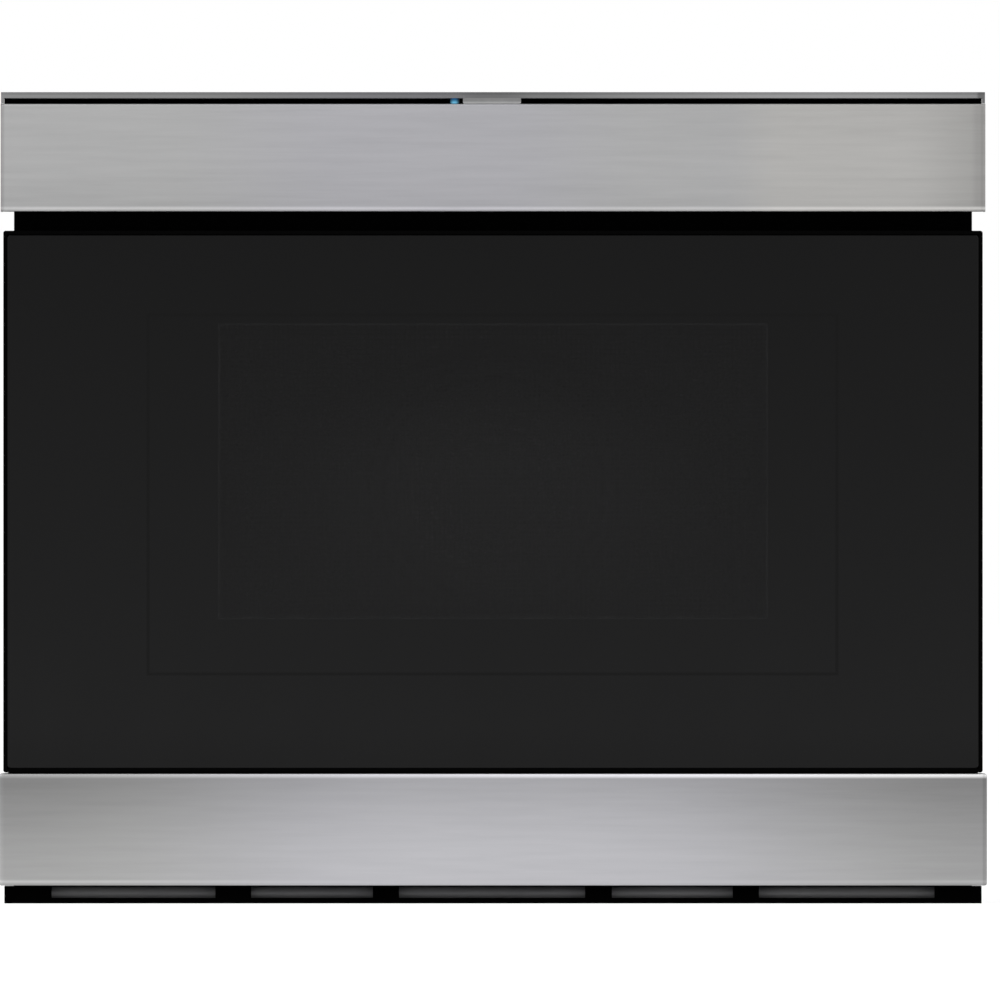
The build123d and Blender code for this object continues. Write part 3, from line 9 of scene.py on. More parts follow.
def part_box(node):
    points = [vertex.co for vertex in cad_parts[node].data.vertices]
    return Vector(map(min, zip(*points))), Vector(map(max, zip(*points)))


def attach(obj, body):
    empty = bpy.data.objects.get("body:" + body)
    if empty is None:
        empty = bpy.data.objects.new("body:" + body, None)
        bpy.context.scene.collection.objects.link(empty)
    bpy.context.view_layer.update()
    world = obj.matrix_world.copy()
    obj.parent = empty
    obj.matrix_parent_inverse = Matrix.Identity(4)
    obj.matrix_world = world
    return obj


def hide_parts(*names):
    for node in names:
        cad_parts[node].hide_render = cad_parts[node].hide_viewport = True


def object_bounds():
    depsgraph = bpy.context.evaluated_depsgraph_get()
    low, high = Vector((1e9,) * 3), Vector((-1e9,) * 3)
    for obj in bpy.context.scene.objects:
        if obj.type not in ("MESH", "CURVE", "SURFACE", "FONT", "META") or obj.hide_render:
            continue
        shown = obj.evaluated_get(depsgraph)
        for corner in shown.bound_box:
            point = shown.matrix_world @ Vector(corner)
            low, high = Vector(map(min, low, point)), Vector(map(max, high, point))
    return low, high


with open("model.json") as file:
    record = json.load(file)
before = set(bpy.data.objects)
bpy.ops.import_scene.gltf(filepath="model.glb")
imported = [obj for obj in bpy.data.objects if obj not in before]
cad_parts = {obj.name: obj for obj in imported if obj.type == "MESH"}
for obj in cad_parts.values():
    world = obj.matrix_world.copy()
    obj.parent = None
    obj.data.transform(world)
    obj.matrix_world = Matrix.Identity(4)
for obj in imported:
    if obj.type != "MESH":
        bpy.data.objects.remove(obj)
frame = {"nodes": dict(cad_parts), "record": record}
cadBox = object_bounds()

# Finishes, printed marks and small parts of a 24 inch microwave drawer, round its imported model.
# Metres, +Z up, and the front looks along -Y.

print("scene: frame loaded,", len(frame["nodes"]), "nodes")


def setInputs(tree, node, inputs):
    # A socket is linked and a value is set. A colour is three numbers.
    for key, value in inputs.items():
        socket = node.inputs[key]
        if isinstance(value, bpy.types.NodeSocket):
            tree.links.new(value, socket)
        else:
            socket.default_value = (*value, 1.0) if socket.type == "RGBA" else value


def addNode(tree, kind, inputs=None, **settings):
    node = tree.nodes.new(kind)
    for key, value in settings.items():
        setattr(node, key, value)
    setInputs(tree, node, inputs or {})
    return node


def objectCoords(tree, scale=(1, 1, 1), move=(0, 0, 0)):
    coords = addNode(tree, "ShaderNodeTexCoord").outputs["Object"]
    mapping = addNode(tree, "ShaderNodeMapping",
                      {"Vector": coords, "Scale": scale, "Location": move})
    return mapping.outputs["Vector"]


def axes(tree, vector):
    split = addNode(tree, "ShaderNodeSeparateXYZ", {"Vector": vector})
    return split.outputs["X"], split.outputs["Y"], split.outputs["Z"]


def noise(tree, vector, scale=1.0, detail=2.0, rough=0.5):
    made = addNode(tree, "ShaderNodeTexNoise",
                   {"Vector": vector, "Scale": scale, "Detail": detail, "Roughness": rough})
    return made.outputs["Fac"]


def cells(tree, vector, scale):
    made = addNode(tree, "ShaderNodeTexVoronoi", {"Vector": vector, "Scale": scale})
    return made.outputs["Distance"], made.outputs["Color"]


def calc(tree, operation, first, second=0.0, third=0.0):
    made = addNode(tree, "ShaderNodeMath", {0: first, 1: second, 2: third}, operation=operation)
    return made.outputs[0]


def weigh(tree, first, share, second):
    # A share of the first number and the rest of the second.
    return calc(tree, "MULTIPLY_ADD", first, share, calc(tree, "MULTIPLY", second, 1.0 - share))


def remap(tree, value, low, high, toLow, toHigh, kind="LINEAR"):
    made = addNode(tree, "ShaderNodeMapRange",
                   {"Value": value, "From Min": low, "From Max": high, "To Min": toLow,
                    "To Max": toHigh}, interpolation_type=kind)
    return made.outputs["Result"]


def fade(tree, value, *ends):
    # Like remap, with soft ends.
    return remap(tree, value, *ends, "SMOOTHSTEP")


def mixNumber(tree, factor, first, second):
    made = addNode(tree, "ShaderNodeMix", {0: factor, 2: first, 3: second}, data_type="FLOAT")
    return made.outputs[0]


def mixColour(tree, factor, first, second, blend="MIX"):
    made = addNode(tree, "ShaderNodeMix", {0: factor, 6: first, 7: second}, data_type="RGBA",
                   blend_type=blend)
    return made.outputs[2]


def shaded(tree, colour, factor):
    # A colour times a number.
    grey = addNode(tree, "ShaderNodeCombineColor", {0: factor, 1: factor, 2: factor})
    return mixColour(tree, 1.0, colour, grey.outputs[0], "MULTIPLY")


def addBump(tree, height, distance, strength=1.0):
    made = addNode(tree, "ShaderNodeBump",
                   {"Height": height, "Distance": distance, "Strength": strength})
    return made.outputs["Normal"]


def startMaterial(name):
    material = bpy.data.materials.new(name)
    material.use_nodes = True
    tree = material.node_tree
    return material, tree, tree.nodes["Principled BSDF"]


def letThrough(tree, factor, first, second):
    # Mixes two shaders into the surface, one of which is clear.
    mixed = addNode(tree, "ShaderNodeMixShader", {0: factor, 1: first, 2: second})
    setInputs(tree, tree.nodes["Material Output"], {"Surface": mixed.outputs[0]})


def boxDistance(tree, across, up, box):
    # Signed distance to a rectangle of the front plane: negative inside.
    left, right, low, high = box
    gaps = []
    for spot, start, stop in ((across, left, right), (up, low, high)):
        away = calc(tree, "ABSOLUTE", calc(tree, "SUBTRACT", spot, (start + stop) / 2))
        gaps.append(calc(tree, "SUBTRACT", away, (stop - start) / 2))
    return calc(tree, "MAXIMUM", *gaps)


def brushedSteel(name, look):
    # Long streaks along X, under painted light. The painted tone changes with height, in one way in
    # the middle and another at the ends, and drifts along the panel. Painted highlights and shade
    # lie along its bends, its rims carry painted shade and highlights, and its returns behind the
    # face take one painted tone.
    material, tree, shader = startMaterial(name)
    broad = noise(tree, objectCoords(tree, look["broad"]), 1.0, 2.0)
    coarse = noise(tree, objectCoords(tree, look["coarse"]), 1.0, 2.0, 0.45)
    fine = noise(tree, objectCoords(tree, look["fine"], look["fineMove"]), 1.0, 3.0, 0.6)
    streaks = weigh(tree, coarse, look["coarseShare"], fine)
    tone = weigh(tree, broad, look["broadShare"], streaks)
    across, depth, up = axes(tree, objectCoords(tree))
    tint = look["tint"]
    for start, stop, colour in look["turns"]:
        tint = mixColour(tree, fade(tree, across, start, stop, 0.0, 1.0), tint, colour)
    # Painted shade with height: the ends take their own, darker rise.
    ends = fade(tree, calc(tree, "ABSOLUTE", across), *look["ends"], 0.0, 1.0)
    level = mixNumber(tree, ends, fade(tree, up, *look["rise"]), fade(tree, up, *look["endRise"]))
    # Painted light and shade along X.
    for start, stop, gain in look["paintedLightAlong"]:
        level = calc(tree, "MULTIPLY", level, fade(tree, across, start, stop, 1.0, gain))
    # Painted highlights and shade along the bends.
    for height, reach, gains in look["paintedBendLight"]:
        away = calc(tree, "ABSOLUTE", calc(tree, "SUBTRACT", up, height))
        near = fade(tree, away, 0.0, reach, 1.0, 0.0)
        level = mixNumber(tree, near, level, fade(tree, across, *gains))
    # Painted shade and highlights at the two rims.
    for side, (start, stop, gain) in zip((-1, 1), look["paintedRimLight"]):
        level = calc(tree, "MULTIPLY", level,
                     remap(tree, across, side * start, side * stop, 1.0, gain))
    # Painted shade: the returns behind the face take one tone.
    start, stop = look["behind"]
    behind = remap(tree, depth, look["face"] + start, look["face"] + stop, 0.0, 1.0)
    level = mixNumber(tree, behind, level, look["paintedReturnShade"])
    contrast = look["contrast"]
    level = calc(tree, "MULTIPLY", level,
                 remap(tree, tone, 0.3, 0.7, 1.0 - contrast, 1.0 + contrast))
    setInputs(tree, shader, {"Base Color": shaded(tree, tint, level),
                             "Roughness": remap(tree, streaks, 0.65, 0.35, *look["roughness"]),
                             "Normal": addBump(tree, streaks, look["grainDepth"]),
                             "Metallic": 1.0})
    return material


def sheetFinish(name, look):
    # Cloudy colour over centimetres, roughness over millimetres and a fine grain.
    material, tree, shader = startMaterial(name)
    cloud = noise(tree, objectCoords(tree), look["cloud"], 3.0)
    grain = noise(tree, objectCoords(tree, look.get("stretch", (1, 1, 1))), look["grain"], 3.0, 0.6)
    tone = remap(tree, weigh(tree, cloud, 0.6, grain), 0.38, 0.62, 0.0, 1.0)
    setInputs(tree, shader, {"Base Color": mixColour(tree, tone, look["dark"], look["light"]),
                             "Roughness": remap(tree, grain, 0.3, 0.7, *look["roughness"]),
                             "Normal": addBump(tree, grain, look["grainDepth"]),
                             "Metallic": look.get("metallic", 0.0),
                             "Specular IOR Level": look.get("specular", 0.5),
                             "Coat Weight": look.get("coat", 0.0)})
    return material


def galvanisedSheet(name, look):
    # Zinc spangle: patches of a few millimetres, each with its own brightness.
    material, tree, shader = startMaterial(name)
    bent = calc(tree, "MULTIPLY", noise(tree, objectCoords(tree), look["warpScale"], 2.0),
                look["warp"])
    warped = addNode(tree, "ShaderNodeVectorMath", {0: objectCoords(tree), 1: (1, 1, 1), 2: bent},
                     operation="MULTIPLY_ADD")
    edge, patch = cells(tree, warped.outputs[0], look["spangle"])
    shade = axes(tree, patch)[0]
    cloud = noise(tree, objectCoords(tree), look["cloud"], 2.0)
    tone = weigh(tree, shade, look["spangleShare"], cloud)
    setInputs(tree, shader, {"Base Color": mixColour(tree, tone, look["dark"], look["light"]),
                             "Roughness": remap(tree, shade, 0.0, 1.0, *look["roughness"]),
                             "Normal": addBump(tree, edge, look["grainDepth"], look["bump"]),
                             "Metallic": look["metallic"],
                             "Specular IOR Level": look["specular"]})
    return material


def speckledEnamel(name, look):
    material, tree, shader = startMaterial(name)
    near, patch = cells(tree, objectCoords(tree), look["speckle"])
    size = remap(tree, axes(tree, patch)[1], 0.0, 1.0, *look["dotSizes"])
    soft = look["dotEdge"]
    dots = remap(tree, calc(tree, "SUBTRACT", near, size), -soft, soft, 1.0, 0.0)
    cloud = noise(tree, objectCoords(tree), look["cloud"], 2.0)
    ground = mixColour(tree, cloud, look["dark"], look["light"])
    peel = noise(tree, objectCoords(tree), look["peel"], 1.0)
    setInputs(tree, shader, {"Base Color": mixColour(tree, dots, ground, look["dots"]),
                             "Roughness": remap(tree, peel, 0.3, 0.7, *look["roughness"]),
                             "Normal": addBump(tree, peel, look["grainDepth"])})
    return material


def doorGlass(name, look):
    # Black glass: the print behind it stops at the window, which lets some light through. Painted
    # reflection makes the glass lighter towards the bottom, with painted shade at its foot, and the
    # window holds painted light.
    material, tree, shader = startMaterial(name)
    across, depth, up = axes(tree, objectCoords(tree))
    window = boxDistance(tree, across, up, look["window"])
    soft = look["windowEdge"]
    mask = remap(tree, window, -soft, soft, 1.0, 0.0)
    border = calc(tree, "ABSOLUTE", boxDistance(tree, across, up, look["border"]))
    line = remap(tree, border, *look["lineFade"], look["lineShare"], 0.0)
    rim = remap(tree, calc(tree, "ABSOLUTE", window), *look["rimFade"], look["rimShare"], 0.0)
    edge = remap(tree, boxDistance(tree, across, up, look["face"]), -look["edge"],
                 look["edgeFade"] - look["edge"], 0.0, 1.0)
    mist = noise(tree, objectCoords(tree), look["mist"], 2.0)
    # Painted reflection: lighter towards the bottom, with painted shade at the foot.
    low, high = look["heights"]
    rise = remap(tree, up, low, high, 0.0, look["riseShare"])
    tone = calc(tree, "MULTIPLY_ADD", mist, look["mistShare"], rise)
    ground = mixColour(tree, tone, look["bottom"], look["top"])
    ground = shaded(tree, ground, fade(tree, up, low, low + look["footHigh"], look["foot"], 1.0))
    # Painted light in the window: lighter towards the bottom, and a painted pool of light in its
    # middle.
    glow = look["glow"]
    aside = calc(tree, "DIVIDE", calc(tree, "SUBTRACT", across, glow["x"]), glow["wide"])
    above = calc(tree, "DIVIDE", calc(tree, "SUBTRACT", up, glow["z"]), glow["high"])
    away = calc(tree, "SQRT", calc(tree, "MULTIPLY_ADD", aside, aside,
                                   calc(tree, "MULTIPLY", above, above)))
    hazeAndPaintedLight = mixColour(tree, rise, look["paneBottom"], look["paneTop"])
    hazeAndPaintedLight = mixColour(tree, fade(tree, away, *glow["fade"], 1.0, 0.0), hazeAndPaintedLight, glow["colour"])
    pane = mixColour(tree, mask, ground, hazeAndPaintedLight)
    lined = mixColour(tree, line, pane, look["line"])
    rimmed = mixColour(tree, rim, lined, look["rim"])
    smear = noise(tree, objectCoords(tree, (1, 1, 0.4)), look["smear"], 3.0)
    setInputs(tree, shader, {"Base Color": mixColour(tree, edge, rimmed, look["line"]),
                             "Roughness": remap(tree, smear, 0.3, 0.7, *look["roughness"]),
                             "Specular IOR Level": look["specular"]})
    clear = addNode(tree, "ShaderNodeBsdfTransparent", {"Color": look["tint"]})
    letThrough(tree, calc(tree, "MULTIPLY", mask, look["seeThrough"]), shader.outputs[0],
               clear.outputs[0])
    return material


def paneGlass(name, look):
    material, tree, shader = startMaterial(name)
    smear = noise(tree, objectCoords(tree), look["smear"], 3.0)
    setInputs(tree, shader, {"Base Color": mixColour(tree, smear, look["dark"], look["light"]),
                             "Roughness": remap(tree, smear, 0.3, 0.7, *look["roughness"])})
    clear = addNode(tree, "ShaderNodeBsdfTransparent", {"Color": look["tint"]})
    bend = addNode(tree, "ShaderNodeFresnel", {"IOR": 1.45})
    letThrough(tree, remap(tree, bend.outputs[0], 0.0, 1.0, look["hazeAndPaintedLight"], 1.0), clear.outputs[0],
               shader.outputs[0])
    return material


def glowing(name, look):
    # A lit light pipe: brightest low in its middle, and dim at its ends.
    material, tree, shader = startMaterial(name)
    across, depth, up = axes(tree, objectCoords(tree, (1, 1, 1), look["centre"]))
    rise = fade(tree, up, *look["rise"], 0.0, 1.0)
    colour = mixColour(tree, rise, look["light"], look["dark"])
    side = fade(tree, calc(tree, "ABSOLUTE", across), *look["ends"], 1.0, look["endShare"])
    lit = shaded(tree, colour, side)
    setInputs(tree, shader, {"Base Color": shaded(tree, lit, look["body"]), "Emission Color": lit,
                             "Emission Strength": look["strength"], "Roughness": 0.3,
                             "Specular IOR Level": 0.1})
    return material


def shadedLens(name, look):
    # A smooth lens with painted shade: darker at its top, under the trim.
    material, tree, shader = startMaterial(name)
    up = axes(tree, objectCoords(tree))[2]
    cloud = noise(tree, objectCoords(tree), look["cloud"], 2.0)
    tone = calc(tree, "MULTIPLY_ADD", cloud, 1.0 - look["lightShare"],
                fade(tree, up, *look["heights"], look["lightShare"], 0.0))
    setInputs(tree, shader, {"Base Color": mixColour(tree, tone, look["dark"], look["light"]),
                             "Roughness": remap(tree, cloud, 0.3, 0.7, *look["roughness"])})
    return material


# Each brushed panel carries its own painted light and shade. "rise" and "endRise" are two heights
# with the painted tone at each, in the middle and at the ends, which take over between the two
# places in
# "ends". "turns" are two places along X with the new colour between them, "paintedLightAlong" two
# places along X with the painted change in tone between them, and "paintedRimLight" the same for
# the left and the right end, counted from the middle. "paintedBendLight" are a height, its reach,
# and two places along
# X with the painted tone at each. What lies behind the "face" has one painted tone,
# "paintedReturnShade".
steelGrain = {"broad": (3.0, 12.0, 12.0), "coarse": (15.0, 260.0, 260.0),
              "fine": (40.0, 1500.0, 1500.0), "fineMove": (3.1, 0.7, 1.9), "coarseShare": 0.78,
              "broadShare": 0.3, "contrast": 0.10, "roughness": (0.30, 0.42),
              "grainDepth": 0.00003, "ends": (0.03, 0.305), "behind": (0.0008, 0.0018)}
fasciaLow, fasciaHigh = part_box("control_fascia")
# The fascia's painted light: a little darker low down, painted shade at its right end and both
# rims, a painted highlight along its lower bend, painted shade along its top bend, and painted
# shade on its returns.
fasciaLook = {**steelGrain, "tint": (0.357, 0.357, 0.358),
              "turns": ((-0.21, -0.09, (0.359, 0.357, 0.377)), (0.0, 0.10, (0.359, 0.359, 0.362)),
                        (0.14, 0.18, (0.390, 0.385, 0.376))),
              "rise": (0.425, 0.455, 0.95, 1.01), "endRise": (0.425, 0.455, 0.94, 1.01),
              "paintedLightAlong": ((0.25, 0.305, 0.82), (0.293, 0.2975, 0.89)),
              "paintedRimLight": ((0.2998, 0.3008, 0.80), (0.2990, 0.3000, 0.90)),
              "paintedBendLight": ((0.4268, 0.0016, (-0.1, 0.1, 1.34, 1.32)),
                        (fasciaHigh.z, 0.0016, (-0.1, 0.1, 0.80, 0.80))),
              "face": fasciaLow.y, "paintedReturnShade": 0.6}
# The lower panel's painted light: painted shade towards its top and more at its ends, painted shade
# at its right end and right rim, a painted highlight at its left rim, a painted highlight along its
# top bend that brightens to the right, a painted line along its bottom bend, darker to the right,
# and shaded returns.
lowerLook = {**steelGrain, "tint": (0.459, 0.458, 0.457), "contrast": 0.07,
             "turns": ((-0.25, -0.10, (0.457, 0.455, 0.478)), (0.10, 0.27, (0.455, 0.454, 0.456))),
             "rise": (0.020, 0.105, 1.0, 0.652), "endRise": (0.012, 0.095, 0.74, 0.415),
             "paintedLightAlong": ((0.2, 0.3, 0.95),),
             "paintedRimLight": ((0.3000, 0.3020, 1.12), (0.3003, 0.3009, 0.82)),
             "paintedBendLight": ((0.0785, 0.0022, (-0.45, 0.17, 0.559, 1.62)),
                       (0.0135, 0.0016, (0.05, 0.28, 1.02, 0.87))),
             "face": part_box("lower_panel")[0].y, "paintedReturnShade": 0.5}
# The trim's dark tint is painted shade on the same steel. Its painted light is darker in the middle
# and lighter towards both ends, with painted shade over the sensor lens, at its right end and
# towards its top.
trimLook = {**steelGrain, "tint": (0.146, 0.146, 0.146),
            "turns": ((-0.17, -0.08, (0.145, 0.144, 0.151)), (-0.05, 0.02, (0.146, 0.146, 0.147))),
            "rise": (0.4958, 0.4972, 1.13, 0.86), "endRise": (0.4958, 0.4972, 1.13, 0.86),
            "paintedLightAlong": ((-0.03, -0.27, 1.32), (0.0, 0.2, 1.72), (0.23, 0.30, 0.84),
                      (0.2962, 0.2985, 0.58), (-0.026, -0.008, 0.84), (0.004, 0.028, 1.2)),
            "paintedRimLight": (), "paintedBendLight": (), "face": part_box("top_trim")[0].y, "paintedReturnShade": 1.3}


def sheet(dark, light, cloud, grain, roughness, grainDepth, **more):
    # Dark and light colour, clouds and grains to the metre, two roughnesses and the grain's depth.
    return {"dark": dark, "light": light, "cloud": cloud, "grain": grain, "roughness": roughness,
            "grainDepth": grainDepth, **more}


plainLooks = {
    "black_plastic": sheet((0.0005, 0.0005, 0.0006), (0.0012, 0.0012, 0.0013), 20.0, 1400.0,
                           (0.42, 0.6), 0.00004, specular=0.05),
    "black_enamel": sheet((0.0001, 0.0001, 0.0001), (0.0003, 0.0003, 0.0003), 8.0, 380.0,
                          (0.34, 0.46), 0.00003, specular=0.012),
    "grey_strip": sheet((0.0002, 0.0002, 0.0002), (0.0006, 0.0006, 0.0006), 20.0, 1100.0,
                        (0.45, 0.6), 0.00003, specular=0.005),
    "bare_steel": sheet((0.36, 0.36, 0.365), (0.5, 0.5, 0.5), 14.0, 300.0, (0.34, 0.48), 0.00002,
                        stretch=(1, 0.06, 1), metallic=1.0),
    "screw_steel": sheet((0.55, 0.55, 0.53), (0.72, 0.72, 0.7), 60.0, 900.0, (0.2, 0.34), 0.00002,
                         metallic=1.0),
    "motor_grey": sheet((0.26, 0.27, 0.28), (0.36, 0.37, 0.38), 25.0, 500.0, (0.3, 0.45), 0.00003,
                        metallic=0.85),
    "aluminium_sheet": sheet((0.42, 0.42, 0.43), (0.54, 0.54, 0.55), 10.0, 260.0, (0.44, 0.56),
                             0.00003, stretch=(1, 0.08, 1), metallic=1.0),
    "can_aluminium": sheet((0.48, 0.48, 0.49), (0.6, 0.6, 0.61), 16.0, 420.0, (0.36, 0.48),
                           0.00002, stretch=(1, 1, 0.05), metallic=1.0),
    "magnet_steel": sheet((0.38, 0.39, 0.4), (0.52, 0.53, 0.54), 18.0, 320.0, (0.3, 0.46), 0.00003,
                          metallic=0.95),
    "heater_steel": sheet((0.07, 0.06, 0.055), (0.2, 0.18, 0.17), 40.0, 700.0, (0.4, 0.62),
                          0.00003, metallic=0.8),
    "iron_core": sheet((0.06, 0.05, 0.05), (0.15, 0.13, 0.12), 20.0, 900.0, (0.35, 0.5), 0.0002,
                       stretch=(0.02, 1, 0.02), metallic=0.5),
    "mica": sheet((0.5, 0.45, 0.34), (0.68, 0.63, 0.52), 60.0, 420.0, (0.3, 0.55), 0.00004),
    "nylon_white": sheet((0.66, 0.65, 0.6), (0.78, 0.77, 0.73), 30.0, 900.0, (0.36, 0.5), 0.00002),
    "nylon_black": sheet((0.016, 0.016, 0.017), (0.028, 0.028, 0.029), 30.0, 1000.0, (0.4, 0.56),
                         0.00003),
    "board_green": sheet((0.008, 0.06, 0.028), (0.02, 0.13, 0.06), 220.0, 1500.0, (0.2, 0.4),
                         0.00003),
    "choke_grey": sheet((0.06, 0.06, 0.064), (0.09, 0.09, 0.094), 16.0, 1200.0, (0.42, 0.58),
                        0.00004),
    "sensor_grey": sheet((0.2, 0.2, 0.205), (0.28, 0.28, 0.285), 80.0, 1500.0, (0.18, 0.26),
                         0.000005),
    "lamp_glass": sheet((0.7, 0.68, 0.6), (0.86, 0.84, 0.78), 60.0, 600.0, (0.1, 0.2), 0.00001),
    "ceramic_white": sheet((0.66, 0.65, 0.62), (0.74, 0.73, 0.7), 9.0, 700.0, (0.1, 0.18), 0.00001,
                           coat=0.4),
}
baffleLook = sheet((0.18, 0.18, 0.185), (0.26, 0.26, 0.265), 10.0, 300.0, (0.55, 0.7), 0.00003,
                   stretch=(0.05, 1, 1), metallic=0.45)
touchLook = sheet((0.004, 0.004, 0.0045), (0.008, 0.008, 0.009), 8.0, 900.0, (0.06, 0.12),
                  0.000002, specular=0.4)
drumLook = sheet((0.05, 0.05, 0.055), (0.09, 0.09, 0.095), 20.0, 400.0, (0.45, 0.6), 0.00003,
                 metallic=0.4)
screenLook = sheet((0.021, 0.021, 0.0213), (0.028, 0.028, 0.0284), 30.0, 900.0, (0.4, 0.55),
                   0.00002, specular=0.1)
frameLook = sheet((0.0002, 0.0002, 0.0002), (0.0005, 0.0005, 0.0005), 12.0, 900.0, (0.42, 0.56),
                  0.00003, specular=0.015)
zincLook = {"dark": (0.27, 0.28, 0.29), "light": (0.37, 0.38, 0.39), "spangle": 190.0,
            "spangleShare": 0.7, "warp": 0.003, "warpScale": 90.0, "cloud": 5.0,
            "roughness": (0.50, 0.62), "grainDepth": 0.00003, "bump": 0.4, "metallic": 0.75,
            "specular": 0.3}
enamelLook = {"dark": (0.2, 0.205, 0.21), "light": (0.25, 0.255, 0.26), "cloud": 12.0,
              "dots": (0.5, 0.5, 0.51), "dotSizes": (0.02, 0.3), "dotEdge": 0.03,
              "speckle": 380.0, "peel": 420.0, "roughness": (0.22, 0.34), "grainDepth": 0.00004}
glassLow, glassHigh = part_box("door_glass")
# "bottom", "top", "foot" and "footHigh" are painted reflection and shade on the glass;
# "paneBottom", "paneTop" and "glow" are painted light in the window, the glow a painted pool of
# light.
doorLook = {"window": (-0.168, 0.168, 0.1754, 0.3554), "windowEdge": 0.0006,
            "border": (-0.2117, 0.2111, 0.1409, 0.3613), "edge": 0.0009, "edgeFade": 0.0005,
            "face": (glassLow.x, glassHigh.x, glassLow.z - 0.0009, glassHigh.z),
            "heights": (glassLow.z, glassHigh.z), "riseShare": 0.9, "mist": 7.0,
            "mistShare": 0.12, "bottom": (0.0072, 0.0072, 0.0074),
            "top": (0.0004, 0.0004, 0.0005), "foot": 0.72, "footHigh": 0.03,
            "paneBottom": (0.0166, 0.0166, 0.0169), "paneTop": (0.0076, 0.0076, 0.0078),
            "glow": {"x": -0.003, "z": 0.240, "wide": 0.170, "high": 0.090, "fade": (0.2, 1.0),
                     "colour": (0.0164, 0.0164, 0.0167)},
            "line": (0.0002, 0.0002, 0.0002), "lineShare": 0.7, "lineFade": (0.0005, 0.0013),
            "rim": (0.03, 0.03, 0.031), "rimShare": 0.2, "rimFade": (0.0003, 0.0009),
            "smear": 30.0, "roughness": (0.04, 0.09), "specular": 0.14, "seeThrough": 0.43,
            "tint": (0.97, 0.97, 0.97)}
paneLook = {"dark": (0.01, 0.012, 0.011), "light": (0.02, 0.022, 0.02), "smear": 25.0,
            "roughness": (0.04, 0.12), "tint": (0.9, 0.93, 0.92), "hazeAndPaintedLight": 0.03}
ledLow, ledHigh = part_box("status_light")
ledLook = {"centre": (-(ledLow.x + ledHigh.x) / 2 + 0.0004, 0, -ledLow.z),
           "rise": (-0.0002, 0.0026), "ends": (0.0004, 0.0032), "endShare": 0.0,
           "light": (0.15, 0.50, 0.74), "dark": (0.001, 0.065, 0.17), "body": 0.15,
           "strength": 0.85}
# The lens's painted shade: lighter low down, darker under the trim between the two heights.
lensLook = {"dark": (0.185, 0.185, 0.186), "light": (0.46, 0.46, 0.462), "cloud": 200.0,
            "heights": (0.4908, 0.4931), "lightShare": 0.8, "roughness": (0.14, 0.22)}

finishes = {slot: sheetFinish(slot, look) for slot, look in plainLooks.items()}
finishes["stainless"] = brushedSteel("fascia_steel", fasciaLook)
finishes["galvanised"] = galvanisedSheet("galvanised", zincLook)
finishes["cavity_enamel"] = speckledEnamel("cavity_enamel", enamelLook)
finishes["black_glass"] = doorGlass("black_glass", doorLook)
finishes["clear_glass"] = paneGlass("clear_glass", paneLook)
finishes["status_blue"] = glowing("status_blue", ledLook)
ownFinishes = {"vent_baffle": sheetFinish("dark_zinc", baffleLook),
               "convection_housing": sheetFinish("drum_steel", drumLook),
               "lower_panel": brushedSteel("lower_steel", lowerLook),
               "top_trim": brushedSteel("trim_steel", trimLook),
               "touch_glass": sheetFinish("touch_black", touchLook),
               "door_frame": sheetFinish("door_moulding", frameLook)}

slotOf = {part["node"]: part["material_slot"] for part in frame["record"]["subparts"]}
for node, piece in frame["nodes"].items():
    piece.data.materials.clear()
    piece.data.materials.append(ownFinishes.get(node, finishes[slotOf[node]]))
print("scene: finishes set on", len(slotOf), "nodes")


# Parts are small bmeshes round the origin; place() joins them into a piece's bmesh.

def easeEdges(part, geom, offset, segments, affect="EDGES"):
    bmesh.ops.bevel(part, geom=geom, offset=offset, offset_type="OFFSET", segments=segments,
                    profile=0.5, affect=affect, material=-1)


def block(low, high, bevel=0.0, segments=2):
    part = bmesh.new()
    bmesh.ops.create_cube(part, size=1.0)
    bmesh.ops.scale(part, vec=Vector(high) - Vector(low), verts=part.verts)
    bmesh.ops.translate(part, vec=(Vector(low) + Vector(high)) / 2, verts=part.verts)
    if bevel:
        easeEdges(part, part.edges[:], bevel, segments)
    return part


def blockFrom(corner, low, high, *ease):
    # A block whose two ends are counted from a corner.
    return block(*([a + b for a, b in zip(corner, end)] for end in (low, high)), *ease)


def turned(profile, sides=32):
    # A closed profile of (radius, height) points, turned round Z.
    part = bmesh.new()
    points = [part.verts.new((radius, 0, height)) for radius, height in profile]
    for first, second in zip(points, points[1:] + points[:1]):
        if first.co.x or second.co.x:
            part.edges.new((first, second))
    bmesh.ops.spin(part, geom=part.verts[:] + part.edges[:], cent=(0, 0, 0), axis=(0, 0, 1),
                   dvec=(0, 0, 0), angle=2 * math.pi, steps=sides, use_merge=True)
    bmesh.ops.remove_doubles(part, verts=part.verts, dist=1e-6)
    bmesh.ops.recalc_face_normals(part, faces=part.faces)
    return part


def rod(radius, length, rim=0.0, sides=32):
    # A round bar from the origin up, with its rims eased.
    return turned([(0, 0), (radius - rim, 0), (radius, rim), (radius, length - rim),
                   (radius - rim, length), (0, length)], sides)


def tube(outer, inner, length, sides=32):
    return turned([(inner, 0), (outer, 0), (outer, length), (inner, length)], sides)


def pullEdges(part, rim):
    # Extrudes edges, and returns the new vertices and the new edges between them.
    made = bmesh.ops.extrude_edge_only(part, edges=rim)["geom"]
    verts = [item for item in made if isinstance(item, bmesh.types.BMVert)]
    edges = [item for item in made if isinstance(item, bmesh.types.BMEdge)
             and all(vert in verts for vert in item.verts)]
    return verts, edges


def asMesh(name, bm):
    mesh = bpy.data.meshes.new(name)
    bm.to_mesh(mesh)
    bm.free()
    return mesh


